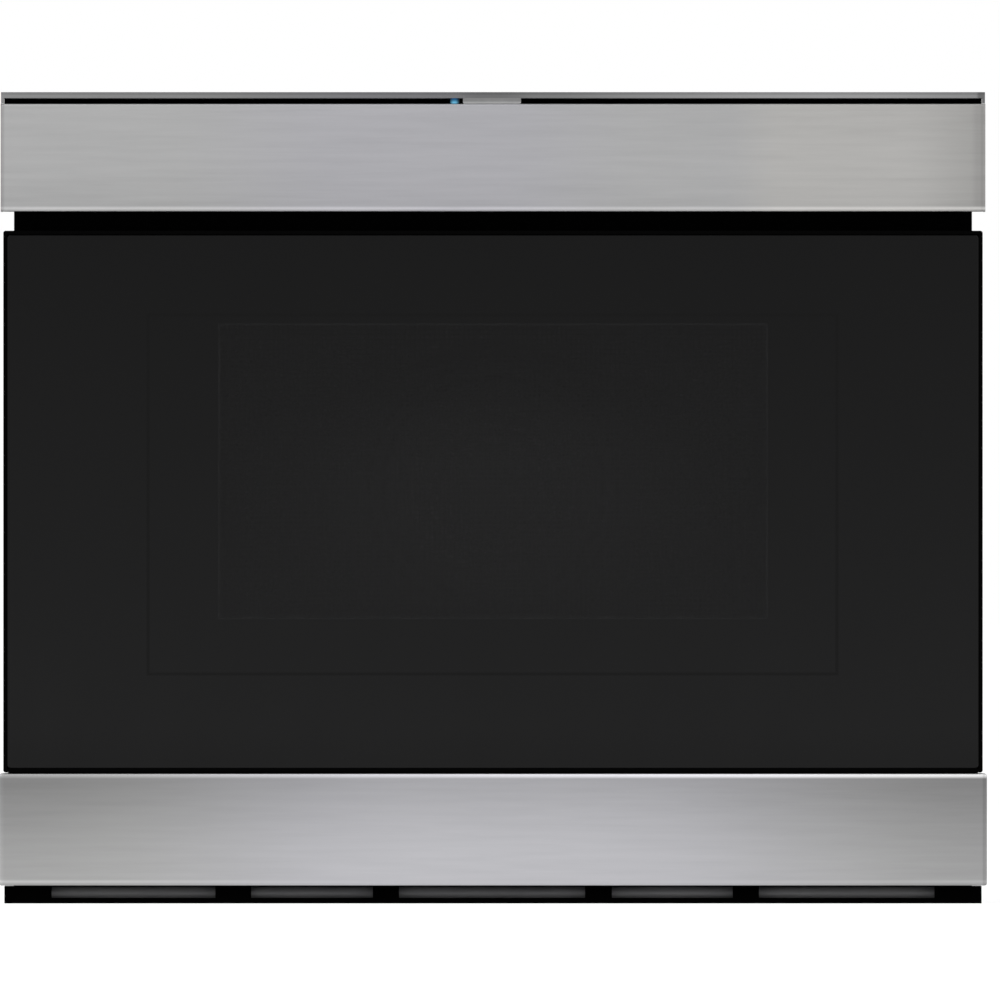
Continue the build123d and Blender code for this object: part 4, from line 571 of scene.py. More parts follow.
def place(bm, part, index=0, spots=(Matrix(),)):
    # Joins one or more copies of a part, in one of the piece's materials.
    for face in part.faces:
        face.material_index = index
    mesh = asMesh("part", part)
    for spot in spots:
        copy = mesh.copy()
        copy.transform(spot)
        if spot.is_negative:
            copy.flip_normals()
        bm.from_mesh(copy)
        bpy.data.meshes.remove(copy)
    bpy.data.meshes.remove(mesh)


def at(x, y, z, along="z", spin=0.0):
    # Where a part goes, with its own Z turned to one of the axes.
    quarter = math.pi / 2
    turns = {"z": Matrix(), "x": Matrix.Rotation(quarter, 4, "Y"),
             "-x": Matrix.Rotation(-quarter, 4, "Y"), "y": Matrix.Rotation(-quarter, 4, "X")}
    return Matrix.Translation((x, y, z)) @ turns[along] @ Matrix.Rotation(spin, 4, "Z")


def addObject(name, data):
    made = bpy.data.objects.new(name, data)
    bpy.context.scene.collection.objects.link(made)
    return made


def finishPiece(name, bm, materials, body, replaced=(), sharp=35.0):
    mesh = asMesh(name, bm)
    for material in materials:
        mesh.materials.append(material)
    mesh.shade_smooth()
    mesh.set_sharp_from_angle(angle=math.radians(sharp))
    piece = addObject(name, mesh)
    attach(piece, body)
    if replaced:
        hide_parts(*replaced)


partLooks = {
    "copper_wire": sheet((0.30, 0.10, 0.035), (0.50, 0.19, 0.075), 60.0, 500.0, (0.2, 0.34),
                         0.00003, stretch=(1, 1, 6), metallic=0.8, coat=0.3),
    "ferrite": sheet((0.018, 0.018, 0.02), (0.04, 0.04, 0.042), 80.0, 900.0, (0.5, 0.7), 0.00004),
    "paper_wrap": sheet((0.52, 0.42, 0.26), (0.66, 0.56, 0.38), 50.0, 800.0, (0.6, 0.8), 0.00004),
    "white_plastic": sheet((0.62, 0.61, 0.58), (0.7, 0.69, 0.66), 60.0, 1200.0, (0.35, 0.5),
                           0.00002),
    "relay_black": sheet((0.012, 0.012, 0.013), (0.024, 0.024, 0.025), 60.0, 1200.0, (0.3, 0.48),
                         0.00003),
    "relay_blue": sheet((0.01, 0.05, 0.16), (0.02, 0.085, 0.24), 60.0, 1200.0, (0.28, 0.42),
                        0.00002),
    "coil_tape": sheet((0.62, 0.42, 0.05), (0.76, 0.54, 0.09), 90.0, 700.0, (0.25, 0.4), 0.00002),
    "tinned": sheet((0.55, 0.55, 0.54), (0.72, 0.72, 0.7), 90.0, 900.0, (0.22, 0.38), 0.00002,
                    metallic=1.0),
    "green_zinc": sheet((0.05, 0.22, 0.10), (0.09, 0.32, 0.15), 90.0, 900.0, (0.26, 0.4), 0.00002,
                        metallic=0.8),
    "steel_mesh": sheet((0.3, 0.3, 0.3), (0.62, 0.62, 0.6), 900.0, 2600.0, (0.35, 0.6), 0.0002,
                        metallic=1.0),
    "print_white": sheet((0.55, 0.56, 0.57), (0.64, 0.65, 0.66), 200.0, 2500.0, (0.4, 0.55),
                         0.000005),
}
for name, look in partLooks.items():
    finishes[name] = sheetFinish(name, look)


def finishList(*names):
    return [finishes[name] for name in names]


# Fine perforated screen behind the window: square holes punched on a straight grid.
screen = {"pitch": 0.003, "bar": 0.0009}


def makeScreen():
    low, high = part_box("door_screen")
    left, right, bottom, top = doorLook["window"]
    wide, tall, pitch = right - left, top - bottom, screen["pitch"]
    bm = bmesh.new()
    bmesh.ops.create_grid(bm, x_segments=round(wide / pitch), y_segments=round(tall / pitch),
                          size=0.5)
    bmesh.ops.scale(bm, vec=(wide, tall, 1), verts=bm.verts)
    holes = bm.faces[:]
    bmesh.ops.inset_individual(bm, faces=holes, thickness=screen["bar"] / 2,
                               use_even_offset=True)
    rim = [edge for edge in bm.edges if edge.is_boundary]
    bmesh.ops.delete(bm, geom=holes, context="FACES_ONLY")
    border = pullEdges(bm, rim)[0]
    bmesh.ops.scale(bm, vec=((high.x - low.x) / wide, (high.z - low.z) / tall, 1), verts=border)
    bmesh.ops.solidify(bm, geom=bm.faces[:], thickness=high.y - low.y)
    bmesh.ops.recalc_face_normals(bm, faces=bm.faces)
    bmesh.ops.rotate(bm, cent=(0, 0, 0), matrix=Matrix.Rotation(math.pi / 2, 3, "X"),
                     verts=bm.verts)
    middle = (low + high) / 2
    depth = [vert.co.y for vert in bm.verts]
    bmesh.ops.translate(bm, verts=bm.verts,
                        vec=(middle.x, middle.y - (min(depth) + max(depth)) / 2, middle.z))
    finishPiece("window_screen", bm, [sheetFinish("screen_enamel", screenLook)], "drawer",
                ["door_screen"])


# Pan-head screws with a cross recess and a pressed washer. "dome" is the head's rings, from its
# flat out: a share of its radius and of its height.
screwShape = {"head": 0.0038, "flat": 0.66, "rise": 0.0018, "washer": 0.0046,
              "washerThick": 0.0004, "cross": 0.0021, "crossBar": 0.00035, "crossDeep": 0.0011,
              "crossTaper": 0.8, "dome": ((0.9, 0.83), (1.0, 0.5), (1.0, 0.2)), "shank": 0.0019,
              "tip": 0.0002}
screwPlaces = {"sideFirst": -0.18, "sidePitch": 0.18, "rearAcross": 0.2, "length": 0.006}


def panScrew(length):
    # Z points out of the head's face; z = 0 is the sheet under the washer.
    shape = screwShape
    part = bmesh.new()
    bmesh.ops.create_circle(part, radius=shape["head"] * shape["flat"], segments=24)
    rim = part.edges[:]
    bar, reach = shape["crossBar"], shape["cross"]
    arm = [(reach, -bar), (reach, bar), (bar, bar)]
    corners = [Matrix.Rotation(n * math.pi / 2, 2) @ Vector(spot) for n in range(4) for spot in arm]
    plus = [part.verts.new((*spot, 0)) for spot in corners]
    loop = [part.edges.new(pair) for pair in zip(plus, plus[1:] + plus[:1])]
    bmesh.ops.translate(part, vec=(0, 0, shape["rise"]), verts=part.verts)
    bmesh.ops.triangle_fill(part, use_beauty=True, edges=rim + loop)
    deep, floor = pullEdges(part, loop)
    bmesh.ops.translate(part, vec=(0, 0, -shape["crossDeep"]), verts=deep)
    bmesh.ops.scale(part, vec=(shape["crossTaper"], shape["crossTaper"], 1), verts=deep)
    bmesh.ops.triangle_fill(part, use_beauty=True, edges=floor)
    for radius, height in shape["dome"]:
        ring, rim = pullEdges(part, rim)
        grow = shape["head"] * radius / ring[0].co.xy.length
        bmesh.ops.scale(part, vec=(grow, grow, 1), verts=ring)
        bmesh.ops.translate(part, vec=(0, 0, shape["rise"] * height - ring[0].co.z), verts=ring)
    bmesh.ops.contextual_create(part, geom=rim)
    bmesh.ops.recalc_face_normals(part, faces=part.faces)
    bm = bmesh.new()
    place(bm, part)
    place(bm, tube(shape["washer"], 0, shape["washerThick"], 24))
    place(bm, rod(shape["shank"], length, shape["tip"], 16), 0, [at(0, 0, -length)])
    return bm


def makeScrews():
    shape, head = screwPlaces, screwShape["head"]
    low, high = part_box("outer_wrap")
    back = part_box("back_panel")[1].y
    headLow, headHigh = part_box("chassis_screws")
    lowZ, topZ = headLow.z + head, headHigh.z - head
    spots = [at(x, shape["sideFirst"] + n * shape["sidePitch"], lowZ, along, spin * n)
             for x, along, spin in ((high.x, "x", 0.4), (low.x, "-x", 0.7)) for n in range(3)]
    spots += [at(x, back, z, "y", 0.5 * n + 9 * z)
              for n, x in enumerate((-shape["rearAcross"], 0, shape["rearAcross"]))
              for z in (lowZ, topZ)]
    bm = bmesh.new()
    place(bm, panScrew(shape["length"]), 0, spots)
    finishPiece("cover_screws", bm, finishList("screw_steel"), "chassis",
                ["chassis_screws"])
    low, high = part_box("drawer_screws")
    rise = screwShape["rise"]
    spots = [at(x, high.y - rise, z, "y", 20 * z)
             for x in (low.x + head, high.x - head) for z in (low.z + head, high.z - head)]
    bm = bmesh.new()
    place(bm, panScrew(high.y - low.y - rise), 0, spots)
    finishPiece("arm_screws", bm, finishList("screw_steel"), "drawer",
                ["drawer_screws"])


# Stiffening beads pressed into the cover, and the earth screw beside the cord's hole.
beads = {"wide": 0.013, "rise": 0.0012, "sunk": 0.0003, "inset": 0.045, "endShare": 0.98,
         "rimShare": 0.9, "across": (-0.18, -0.06, 0.06, 0.18), "heights": (0.11, 0.20, 0.29)}
earthScrew = {"aside": 0.030, "washer": 0.0062, "washerThick": 0.0008, "head": 0.0042,
              "rise": 0.0036, "rim": 0.0005, "shankShare": 0.45, "length": 0.008, "tip": 0.0002}


def bead(length):
    # A long low pad with round ends and a soft rim; z = 0 is the sheet.
    half, rise, soft = beads["wide"] / 2, beads["rise"], beads["rimShare"]
    part = block((-half, -length / 2, -beads["sunk"]), (half, length / 2, rise))
    upright = [e for e in part.edges if abs(e.verts[0].co.z - e.verts[1].co.z) > rise / 2]
    easeEdges(part, upright, half * beads["endShare"], 8)
    easeEdges(part, [e for e in part.edges if all(v.co.z > rise * soft for v in e.verts)],
              rise * soft, 4)
    return part


def makeBeads():
    low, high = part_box("outer_wrap")
    length = high.y - low.y - 2 * beads["inset"]
    middle = (low.y + high.y) / 2
    spots = [at(x, middle, high.z) for x in beads["across"]]
    for z in beads["heights"]:
        spots += [at(high.x, middle, z, "x"), at(low.x, middle, z, "-x")]
    bm = bmesh.new()
    place(bm, bead(length), 0, spots)
    finishPiece("cover_beads", bm, finishList("galvanised"), "chassis")
    shape = earthScrew
    low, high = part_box("cord_gland")
    spot = at(high.x + shape["aside"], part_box("back_panel")[1].y, (low.z + high.z) / 2, "y")
    bm = bmesh.new()
    place(bm, tube(shape["washer"], 0, shape["washerThick"]), 1, [spot])
    place(bm, rod(shape["head"], shape["rise"], shape["rim"], 6), 0, [spot])
    place(bm, rod(shape["head"] * shape["shankShare"], shape["length"], shape["tip"], 16), 0,
          [spot @ at(0, 0, -shape["length"])])
    finishPiece("earth_screw", bm, finishList("green_zinc", "screw_steel"), "chassis")


# Transformer: stacked laminations, two windings and the paper between them. Each of the three is
# an inset, height, turns and groove. The tabs stand on their front.
transformer = {"foot": 0.002, "footInset": 0.018, "ease": 0.0006, "bolt": (0.0036, 0.0022, 0.0006),
               "boltInset": 0.006, "boltAside": 0.022, "coreHalf": 0.046, "coreDeep": 0.028,
               "plates": 16, "plateGap": 0.0004, "plateEase": 0.0003, "fillInset": 0.0008,
               "weld": 0.001, "weldHigh": 0.004, "weldFrom": 0.012, "weldEase": 0.0009,
               "coilLow": 0.018, "coilSize": (0.062, 0.104), "corner": 0.012,
               "windings": ((0.002, 0.020, 8, 0.0009), (0.003, 0.003, 1, 0.0003),
                            (0.005, 0.021, 14, 0.0006)),
               "tabAside": 0.012, "tabLow": 0.023,
               "tabBase": ((-0.005, 0.003, 0.003), (0.005, 0.010, 0.027), 0.0008),
               "tab": ((-0.0032, 0.005, 0.022), (0.0032, 0.0058, 0.038), 0.0002, 1)}


def racetrack(width, length, corner, height, turns, groove):
    # A wound coil: a rounded rectangle raised in turns, each with a groove at its ends.
    part = bmesh.new()
    bmesh.ops.create_grid(part, x_segments=1, y_segments=1, size=0.5)
    bmesh.ops.scale(part, vec=(width, length, 1), verts=part.verts)
    easeEdges(part, part.verts[:], corner, 6, "VERTICES")
    rim = part.edges[:]
    for turn in range(turns):
        for grow, rise in ((groove, 0.25), (0.0, 0.5), (-groove, 0.25)):
            ring, rim = pullEdges(part, rim)
            bmesh.ops.scale(part, vec=(1 + 2 * grow / width, 1 + 2 * grow / length, 1), verts=ring)
            bmesh.ops.translate(part, vec=(0, 0, rise * height / turns), verts=ring)
    bmesh.ops.contextual_create(part, geom=rim)
    bmesh.ops.recalc_face_normals(part, faces=part.faces)
    return part


def makeTransformer():
    shape = transformer
    core, wire, steel, paper, tin = range(5)
    low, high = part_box("power_transformer")
    middle = (low + high) / 2
    floor = low.z + shape["foot"]
    half, deep = shape["coreHalf"], shape["coreDeep"]
    left, right = middle.x - half, middle.x + half
    front, back = middle.y - deep, middle.y + deep
    bm = bmesh.new()
    place(bm, block((low.x, low.y + shape["footInset"], low.z),
                    (high.x, high.y - shape["footInset"], floor), shape["ease"]), steel)
    place(bm, rod(*shape["bolt"], 6), steel,
          [at(x, middle.y + shift, floor)
           for x in (low.x + shape["boltInset"], high.x - shape["boltInset"])
           for shift in (-shape["boltAside"], shape["boltAside"])])
    step = 2 * deep / shape["plates"]
    plates = [at(middle.x, front + (n + 0.5) * step, 0) for n in range(shape["plates"])]
    thick = (step - shape["plateGap"]) / 2
    place(bm, block((-half, -thick, floor), (half, thick, high.z), shape["plateEase"], 1), core,
          plates)
    inset = shape["fillInset"]
    place(bm, block((left + inset, front, floor), (right - inset, back, high.z - inset)), core)
    for x in (left, right):
        for z in (floor + shape["weldFrom"], high.z - shape["weldFrom"]):
            place(bm, block((x - shape["weld"], front, z),
                            (x + shape["weld"], back, z + shape["weldHigh"]), shape["weldEase"]),
                  steel)
    width, length = shape["coilSize"]
    base = low.z + shape["coilLow"]
    for finish, (slim, tall, turns, groove) in zip((wire, paper, wire), shape["windings"]):
        coil = racetrack(width - slim, length - slim, shape["corner"], tall, turns, groove)
        place(bm, coil, finish, [at(middle.x, middle.y, base)])
        base += tall
    foot = low.z + shape["coilLow"] + shape["tabLow"]
    for shift in (-shape["tabAside"], shape["tabAside"]):
        corner = (middle.x + shift, middle.y - length / 2, foot)
        place(bm, blockFrom(corner, *shape["tabBase"]), paper)
        place(bm, blockFrom(corner, *shape["tab"]), tin)
    finishPiece("wound_transformer", bm,
                finishList("iron_core", "copper_wire", "bare_steel", "paper_wrap", "tinned"),
                "chassis", ["power_transformer"])


# Magnetron: bent yoke, ring magnets, wavy cooling fins, aerial and the shielded filter box with
# its plug. "aerialShape" is shares of the aerial's radius, and heights.
magnetron = {"yokeHalf": 0.045, "yokeDeep": 0.036, "sheet": 0.002, "ease": 0.0006,
             "bolt": (0.0028, 0.0014, 0.0005), "boltInset": 0.008, "boltSunk": 0.0004,
             "anode": 0.017, "anodeRim": 0.001, "magnet": 0.027, "magnetHole": 0.013,
             "magnetHigh": 0.009, "fins": 8, "finThick": 0.0006, "finDeep": 0.031,
             "finGap": 0.002, "wave": 0.0012, "waves": 260, "aerial": 0.008, "aerialDrop": 0.026,
             "aerialShape": ((0, 0), (0.7, 0), (1, 0.002), (1, 0.016), (0.8, 0.018)),
             "gasket": 0.0125, "gasketHigh": 0.003, "boxHalf": 0.022, "boxLap": 0.006,
             "boxLow": 0.014, "boxHigh": 0.052, "boxEase": 0.0015, "lid": 0.0006,
             "lidDeep": 0.006, "lidFront": 0.004, "lidBack": 0.001, "lidEase": 0.0008,
             "plug": ((0, -0.008, 0.022), (0.011, 0.008, 0.040), 0.001),
             "blade": ((0.010, -0.0004, 0.028), (0.018, 0.0004, 0.034), 0.0001, 1),
             "bladeAside": 0.004}


def makeMagnetron():
    shape = magnetron
    steel, ferrite, fins, white, copper, mesh, tin = range(7)
    low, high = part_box("magnetron")
    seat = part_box("waveguide")[1].z
    half, deep, thick = shape["yokeHalf"], shape["yokeDeep"], shape["sheet"]
    x, y = (low.x + high.x) / 2, low.y + deep
    bm = bmesh.new()
    for z in (seat, high.z - thick):
        place(bm, block((x - half, y - deep, z), (x + half, y + deep, z + thick), shape["ease"]),
              steel)
    for left in (x - half, x + half - thick):
        place(bm, block((left, y - deep, seat), (left + thick, y + deep, high.z), shape["ease"]),
              steel)
    inset = shape["boltInset"]
    place(bm, rod(*shape["bolt"], 6), steel,
          [at(x + a * (half - inset), y + b * (deep - inset), high.z - shape["boltSunk"])
           for a in (-1, 1) for b in (-1, 1)])
    inner, outer = seat + thick, high.z - thick
    place(bm, rod(shape["anode"], outer - inner, shape["anodeRim"]), copper, [at(x, y, inner)])
    place(bm, tube(shape["magnet"], shape["magnetHole"], shape["magnetHigh"], 40), ferrite,
          [at(x, y, z) for z in (inner, outer - shape["magnetHigh"])])
    first = inner + shape["magnetHigh"] + shape["finGap"]
    last = outer - shape["magnetHigh"] - shape["finGap"]
    step = (last - first) / (shape["fins"] - 1)
    fin = block((-half + thick, -shape["finDeep"], -shape["finThick"] / 2),
                (half - thick, shape["finDeep"], shape["finThick"] / 2))
    longEdges = [e for e in fin.edges if abs(e.verts[0].co.x - e.verts[1].co.x) > half]
    bmesh.ops.subdivide_edges(fin, edges=longEdges, cuts=9, use_grid_fill=True)
    for vert in fin.verts:
        vert.co.z += shape["wave"] * math.sin(vert.co.x * shape["waves"])
    place(bm, fin, fins, [at(x, y, first + n * step) for n in range(shape["fins"])])
    radius, drop = shape["aerial"], shape["aerialDrop"]
    profile = [(share * radius, height) for share, height in shape["aerialShape"]]
    neck = profile[-1][0]
    place(bm, turned(profile + [(neck, drop), (0, drop)]), steel, [at(x, y, seat - drop)])
    place(bm, tube(shape["gasket"], neck, shape["gasketHigh"]), mesh,
          [at(x, y, seat - shape["gasketHigh"])])
    front, back = y + deep - shape["boxLap"], high.y
    side, roof, lap = shape["boxHalf"], seat + shape["boxHigh"], shape["lid"]
    place(bm, block((x - side, front, seat + shape["boxLow"]), (x + side, back, roof),
                    shape["boxEase"]), steel)
    place(bm, block((x - side - lap, front + shape["lidFront"], roof - shape["lidDeep"]),
                    (x + side + lap, back - shape["lidBack"], roof + lap), shape["lidEase"]), steel)
    plug = (front + back) / 2
    place(bm, blockFrom((x + side, plug, seat), *shape["plug"]), white)
    for shift in (-shape["bladeAside"], shape["bladeAside"]):
        place(bm, blockFrom((x + side, plug + shift, seat), *shape["blade"]), tin)
    finishPiece("finned_magnetron", bm,
                finishList("magnet_steel", "ferrite", "aluminium_sheet", "white_plastic",
                           "copper_wire", "steel_mesh", "tinned"), "chassis",
                ["magnetron"])


# Control board: relays, a small transformer, capacitors, a header, a chip and loose parts.
# Places are counted from the board's left front corner, except the header's ends and the cans.
board = {"standoff": 0.016, "thick": 0.0016, "ease": 0.0003, "post": 0.003, "postRim": 0.0004,
         "postInset": 0.007, "bolt": (0.0028, 0.0016, 0.0005),
         "relay": (0.018, 0.024, 0.0154), "relayEase": 0.001, "relays": 4, "relayPitch": 0.032,
         "relayFirst": (0.005, 0.025), "lidInset": 0.0018, "lidLow": 0.0005, "lidHigh": 0.0002,
         "blades": (0.006, 0.018),
         "blade": ((0.004, -0.0004, 0), (0.0105, 0.0004, 0.008), 0.0002, 1),
         "coilAt": (0.055, 0.015), "coilLong": (0.038, 0.040),
         "coilFoot": ((0, 0.006, 0), (0.038, 0.034, 0.006), 0.0008),
         "coilPlate": ((0, 0, 0.005), (0.038, 0.040, 0.011), 0.0012),
         "coilTape": ((0.008, 0.004, 0.010), (0.030, 0.036, 0.024), 0.003, 3),
         "coilTop": 0.022, "coilTopEase": 0.0012,
         "headerEnds": (0.045, 0.020), "headerBack": 0.035, "headerWide": 0.010,
         "headerFoot": 0.0035, "headerWall": (0.008, 0.0104), "headerEases": (0.0005, 0.0004),
         "pins": 11, "pinFirst": (0.004, 0.004, 0.003), "pinPitch": 0.0052,
         "pin": ((-0.0004, -0.0004, 0), (0.0004, 0.0004, 0.007), 0.0001, 1),
         "cans": 3, "canRight": 0.030, "canFirst": 0.085, "canPitch": 0.016,
         "can": ((0, 0), (0.0048, 0), (0.0048, 0.0012), (0.0044, 0.0022), (0.0050, 0.0032),
                 (0.0050, 0.0172), (0.0046, 0.018), (0.0038, 0.018), (0, 0.0176)),
         "canLid": (0.0037, 0.0003, 0.0178),
         "chipAt": (0.062, 0.098), "chip": ((0, 0, 0.0006), (0.014, 0.014, 0.0024), 0.0003, 1),
         "legs": 10, "legFirst": 0.0016, "legPitch": 0.0012, "legSides": (-0.0008, 0.0148),
         "leg": ((-0.0002, -0.001, 0), (0.0002, 0.001, 0.0010)),
         "resistors": 12, "resistorFirst": (0.048, 0.070, 0.0016), "resistorPitch": (0.007, 0.006),
         "resistor": ((0, -0.0032), (0.0008, -0.0032), (0.0012, -0.0026), (0.0009, -0.0014),
                      (0.0009, 0.0014), (0.0012, 0.0026), (0.0008, 0.0032), (0, 0.0032)),
         "lead": (0.0003, 0.0092), "beeperAt": (0.098, 0.140), "beeper": (0.007, 0.0012, 0.009)}


def makeControlBoard():
    shape = board
    green, nylon, blue, black, tape, tin, iron, white = range(8)
    low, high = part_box("control_board")
    under = low.z + shape["standoff"]
    top = under + shape["thick"]

    def spot(x, y, z=0.0):
        return low.x + x, low.y + y, top + z

    bm = bmesh.new()
    place(bm, block((low.x, low.y, under), (high.x, high.y, top), shape["ease"], 1), green)
    inset = shape["postInset"]
    corners = [(x, y) for x in (low.x + inset, high.x - inset)
               for y in (low.y + inset, high.y - inset)]
    place(bm, rod(shape["post"], shape["standoff"], shape["postRim"], 6), nylon,
          [at(x, y, low.z) for x, y in corners])
    place(bm, rod(*shape["bolt"], 16), tin, [at(x, y, top) for x, y in corners])
    wide, long, tall = shape["relay"]
    inset = shape["lidInset"]
    for n in range(shape["relays"]):
        x, y = shape["relayFirst"]
        corner = spot(x, y + n * shape["relayPitch"])
        case = blue if n % 2 else black
        place(bm, blockFrom(corner, (0, 0, 0), shape["relay"], shape["relayEase"]), case)
        place(bm, blockFrom(corner, (inset, inset, tall - shape["lidLow"]),
                            (wide - inset, long - inset, tall + shape["lidHigh"]), 0.0002, 1), case)
        for shift in shape["blades"]:
            blade = blockFrom((corner[0] + wide, corner[1] + shift, top), *shape["blade"])
            place(bm, blade, tin)
    corner = spot(*shape["coilAt"])
    for part, finish in (("coilFoot", black), ("coilPlate", iron), ("coilTape", tape)):
        place(bm, blockFrom(corner, *shape[part]), finish)
    place(bm, blockFrom(corner, (0, 0, shape["coilTop"]), (*shape["coilLong"], high.z - top),
                        shape["coilTopEase"]), iron)
    left, right = low.x + shape["headerEnds"][0], high.x - shape["headerEnds"][1]
    y = high.y - shape["headerBack"]
    wall, wallHigh = shape["headerWall"]
    footEase, wallEase = shape["headerEases"]
    place(bm, block((left, y, top), (right, y + shape["headerWide"], top + shape["headerFoot"]),
                    footEase), white)
    place(bm, block((left, y + wall, top), (right, y + shape["headerWide"], top + wallHigh),
                    wallEase), white)
    first = shape["pinFirst"]
    place(bm, block(*shape["pin"]), tin,
          [at(left + first[0] + n * shape["pinPitch"], y + first[1], top + first[2])
           for n in range(shape["pins"])])
    cans = [at(high.x - shape["canRight"], low.y + shape["canFirst"] + n * shape["canPitch"], top)
            for n in range(shape["cans"])]
    place(bm, turned(shape["can"], 28), blue, cans)
    radius, thick, height = shape["canLid"]
    place(bm, tube(radius, 0, thick, 24), tin, [can @ at(0, 0, height) for can in cans])
    x, y = shape["chipAt"]
    place(bm, blockFrom(spot(x, y), *shape["chip"]), black)
    legs = []
    for n in range(shape["legs"]):
        shift = shape["legFirst"] + n * shape["legPitch"]
        legs += [at(*spot(x + shift, y + side)) for side in shape["legSides"]]
        legs += [at(*spot(x + side, y + shift), "z", math.pi / 2) for side in shape["legSides"]]
    place(bm, block(*shape["leg"]), tin, legs)
    x, y, z = shape["resistorFirst"]
    stepX, stepY = shape["resistorPitch"]
    resistors = [at(*spot(x + stepX * (n % 3), y + stepY * (n // 3), z), "y" if n % 2 else "x")
                 for n in range(shape["resistors"])]
    place(bm, turned(shape["resistor"], 12), tape, resistors)
    radius, length = shape["lead"]
    place(bm, rod(radius, length, 0.0, 6), tin,
          [resistor @ at(0, 0, -length / 2) for resistor in resistors])
    place(bm, tube(*shape["beeper"], 28), black, [at(*spot(*shape["beeperAt"]))])
    finishPiece("relay_board", bm,
                finishList("board_green", "nylon_white", "relay_blue", "relay_black", "coil_tape",
                           "tinned", "iron_core", "white_plastic"), "chassis",
                ["control_board"])


# Oven lamp: a pressed can, a porcelain holder and a small bulb.
lamp = {"can": 0.020, "canDeep": 0.026, "wall": 0.0015, "corner": 0.002,
        "holder": ((0, 0.018), (0.010, 0.018), (0.0115, 0.0195)), "bulb": 0.009,
        "bulbFrom": 0.003, "neck": 0.0055, "neckDeep": 0.0185}


def makeLamp():
    shape = lamp
    low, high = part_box("cavity_lamp")
    spot = [at(low.x, (low.y + high.y) / 2, (low.z + high.z) / 2, "x")]
    can, deep, wall, corner = shape["can"], shape["canDeep"], shape["wall"], shape["corner"]
    floor = deep - wall
    bm = bmesh.new()
    place(bm, turned([(can - wall, 0), (can, 0), (can, deep - corner), (can - corner, deep),
                      (0, deep), (0, floor), (can - 2 * wall, floor),
                      (can - wall, deep - 2 * wall)], 48), 0, spot)
    holder = list(shape["holder"])
    place(bm, turned(holder + [(holder[-1][0], floor), (0, floor)]), 1, spot)
    bulb = shape["bulb"]
    rise = [(bulb * math.sin(turn), shape["bulbFrom"] + bulb * (1 - math.cos(turn)))
            for turn in map(math.radians, range(0, 121, 12))]
    place(bm, turned(rise + [(shape["neck"], shape["neckDeep"]), (0, shape["neckDeep"])]), 2, spot)
    finishPiece("oven_lamp", bm, finishList("can_aluminium", "ceramic_white", "lamp_glass"),
                "chassis", ["cavity_lamp"])


# Lens of the motion sensor and the light pipe beside it, in the slit between the trim and the
# fascia, and the seals that close the slit's two ends.
lensShape = {"band": 0.0037, "lap": 0.0001, "skin": 0.001, "gap": 0.00005, "round": 0.0008,
             "inset": 0.002, "ease": 0.0003, "pipe": 0.0030, "pipeEase": 0.0004,
             "stemFront": 0.004, "stemBack": 0.001, "stemEase": 0.0002, "end": 0.0016,
             "seal": 0.0008, "sealFront": 0.026, "sealBack": 0.0002, "sealEase": 0.0002}


def makeLens():
    shape = lensShape
    low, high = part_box("motion_sensor_lens")
    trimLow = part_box("top_trim")[1].z - shape["band"]
    inset, lap = shape["inset"], shape["lap"]
    lens = block((low.x, low.y, fasciaHigh.z + shape["gap"]), (high.x, high.y, trimLow))
    bottom = [e for e in lens.edges if abs(e.verts[0].co.y - e.verts[1].co.y) > shape["skin"]
              and e.verts[0].co.z < trimLow - lap]
    easeEdges(lens, bottom, shape["round"], 4)
    bm = bmesh.new()
    place(bm, lens)
    place(bm, block((low.x + inset, low.y + shape["skin"], trimLow - lap),
                    (high.x - inset, high.y, high.z), shape["ease"]))
    finishPiece("sensor_lens", bm, [shadedLens("lens_grey", lensLook)], "chassis",
                ["motion_sensor_lens"])
    low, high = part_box("status_light")
    middle, pipe = (low.x + high.x) / 2, shape["pipe"]
    bm = bmesh.new()
    place(bm, block((middle - pipe, low.y, fasciaHigh.z + 2 * lap),
                    (middle + pipe, high.y, trimLow), shape["pipeEase"]))
    place(bm, block((middle - pipe / 2, low.y + shape["stemFront"], trimLow - lap),
                    (middle + pipe / 2, high.y - shape["stemBack"], high.z), shape["stemEase"]))
    finishPiece("light_pipe", bm, finishList("status_blue"), "chassis",
                ["status_light"])
    low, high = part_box("top_trim")
    inner = high.x - shape["end"]
    bm = bmesh.new()
    for side in (-1, 1):
        left, right = sorted((side * (inner - shape["seal"]), side * (inner - lap)))
        place(bm, block((left, low.y + shape["sealFront"], low.z),
                        (right, high.y - shape["sealBack"], trimLow), shape["sealEase"]))
    finishPiece("slit_seals", bm, finishList("black_plastic"), "chassis")


for make in (makeScreen, makeScrews, makeBeads, makeTransformer, makeMagnetron, makeControlBoard,
             makeLamp, makeLens):
    make()
print("scene: screen, screws and inner works made")


# Touch marks: digits, plain signs and the clock on the pod's sloped top. The signs' parts are
# shares of a sign's half size.
touch = {"slope": math.radians(13.0), "thick": 0.003, "ink": 0.00006, "digit": 0.0075,
         "keyPitch": 0.024, "keyFirst": 0.085, "rows": (0.0085, -0.0085), "clock": 0.013,
         "sign": 0.0035, "line": 0.0005, "square": 0.8, "blade": 0.72, "lock": 0.5,
         "lockTop": 0.2, "waves": (-0.0022, 0.0, 0.0022)}
clockLook = {"centre": (0, 0, 0), "rise": (0.0, 0.9), "ends": (0.0, 0.2), "endShare": 0.8,
             "light": (0.30, 0.62, 0.78), "dark": (0.1, 0.25, 0.35), "body": 0.5,
             "strength": 0.9}


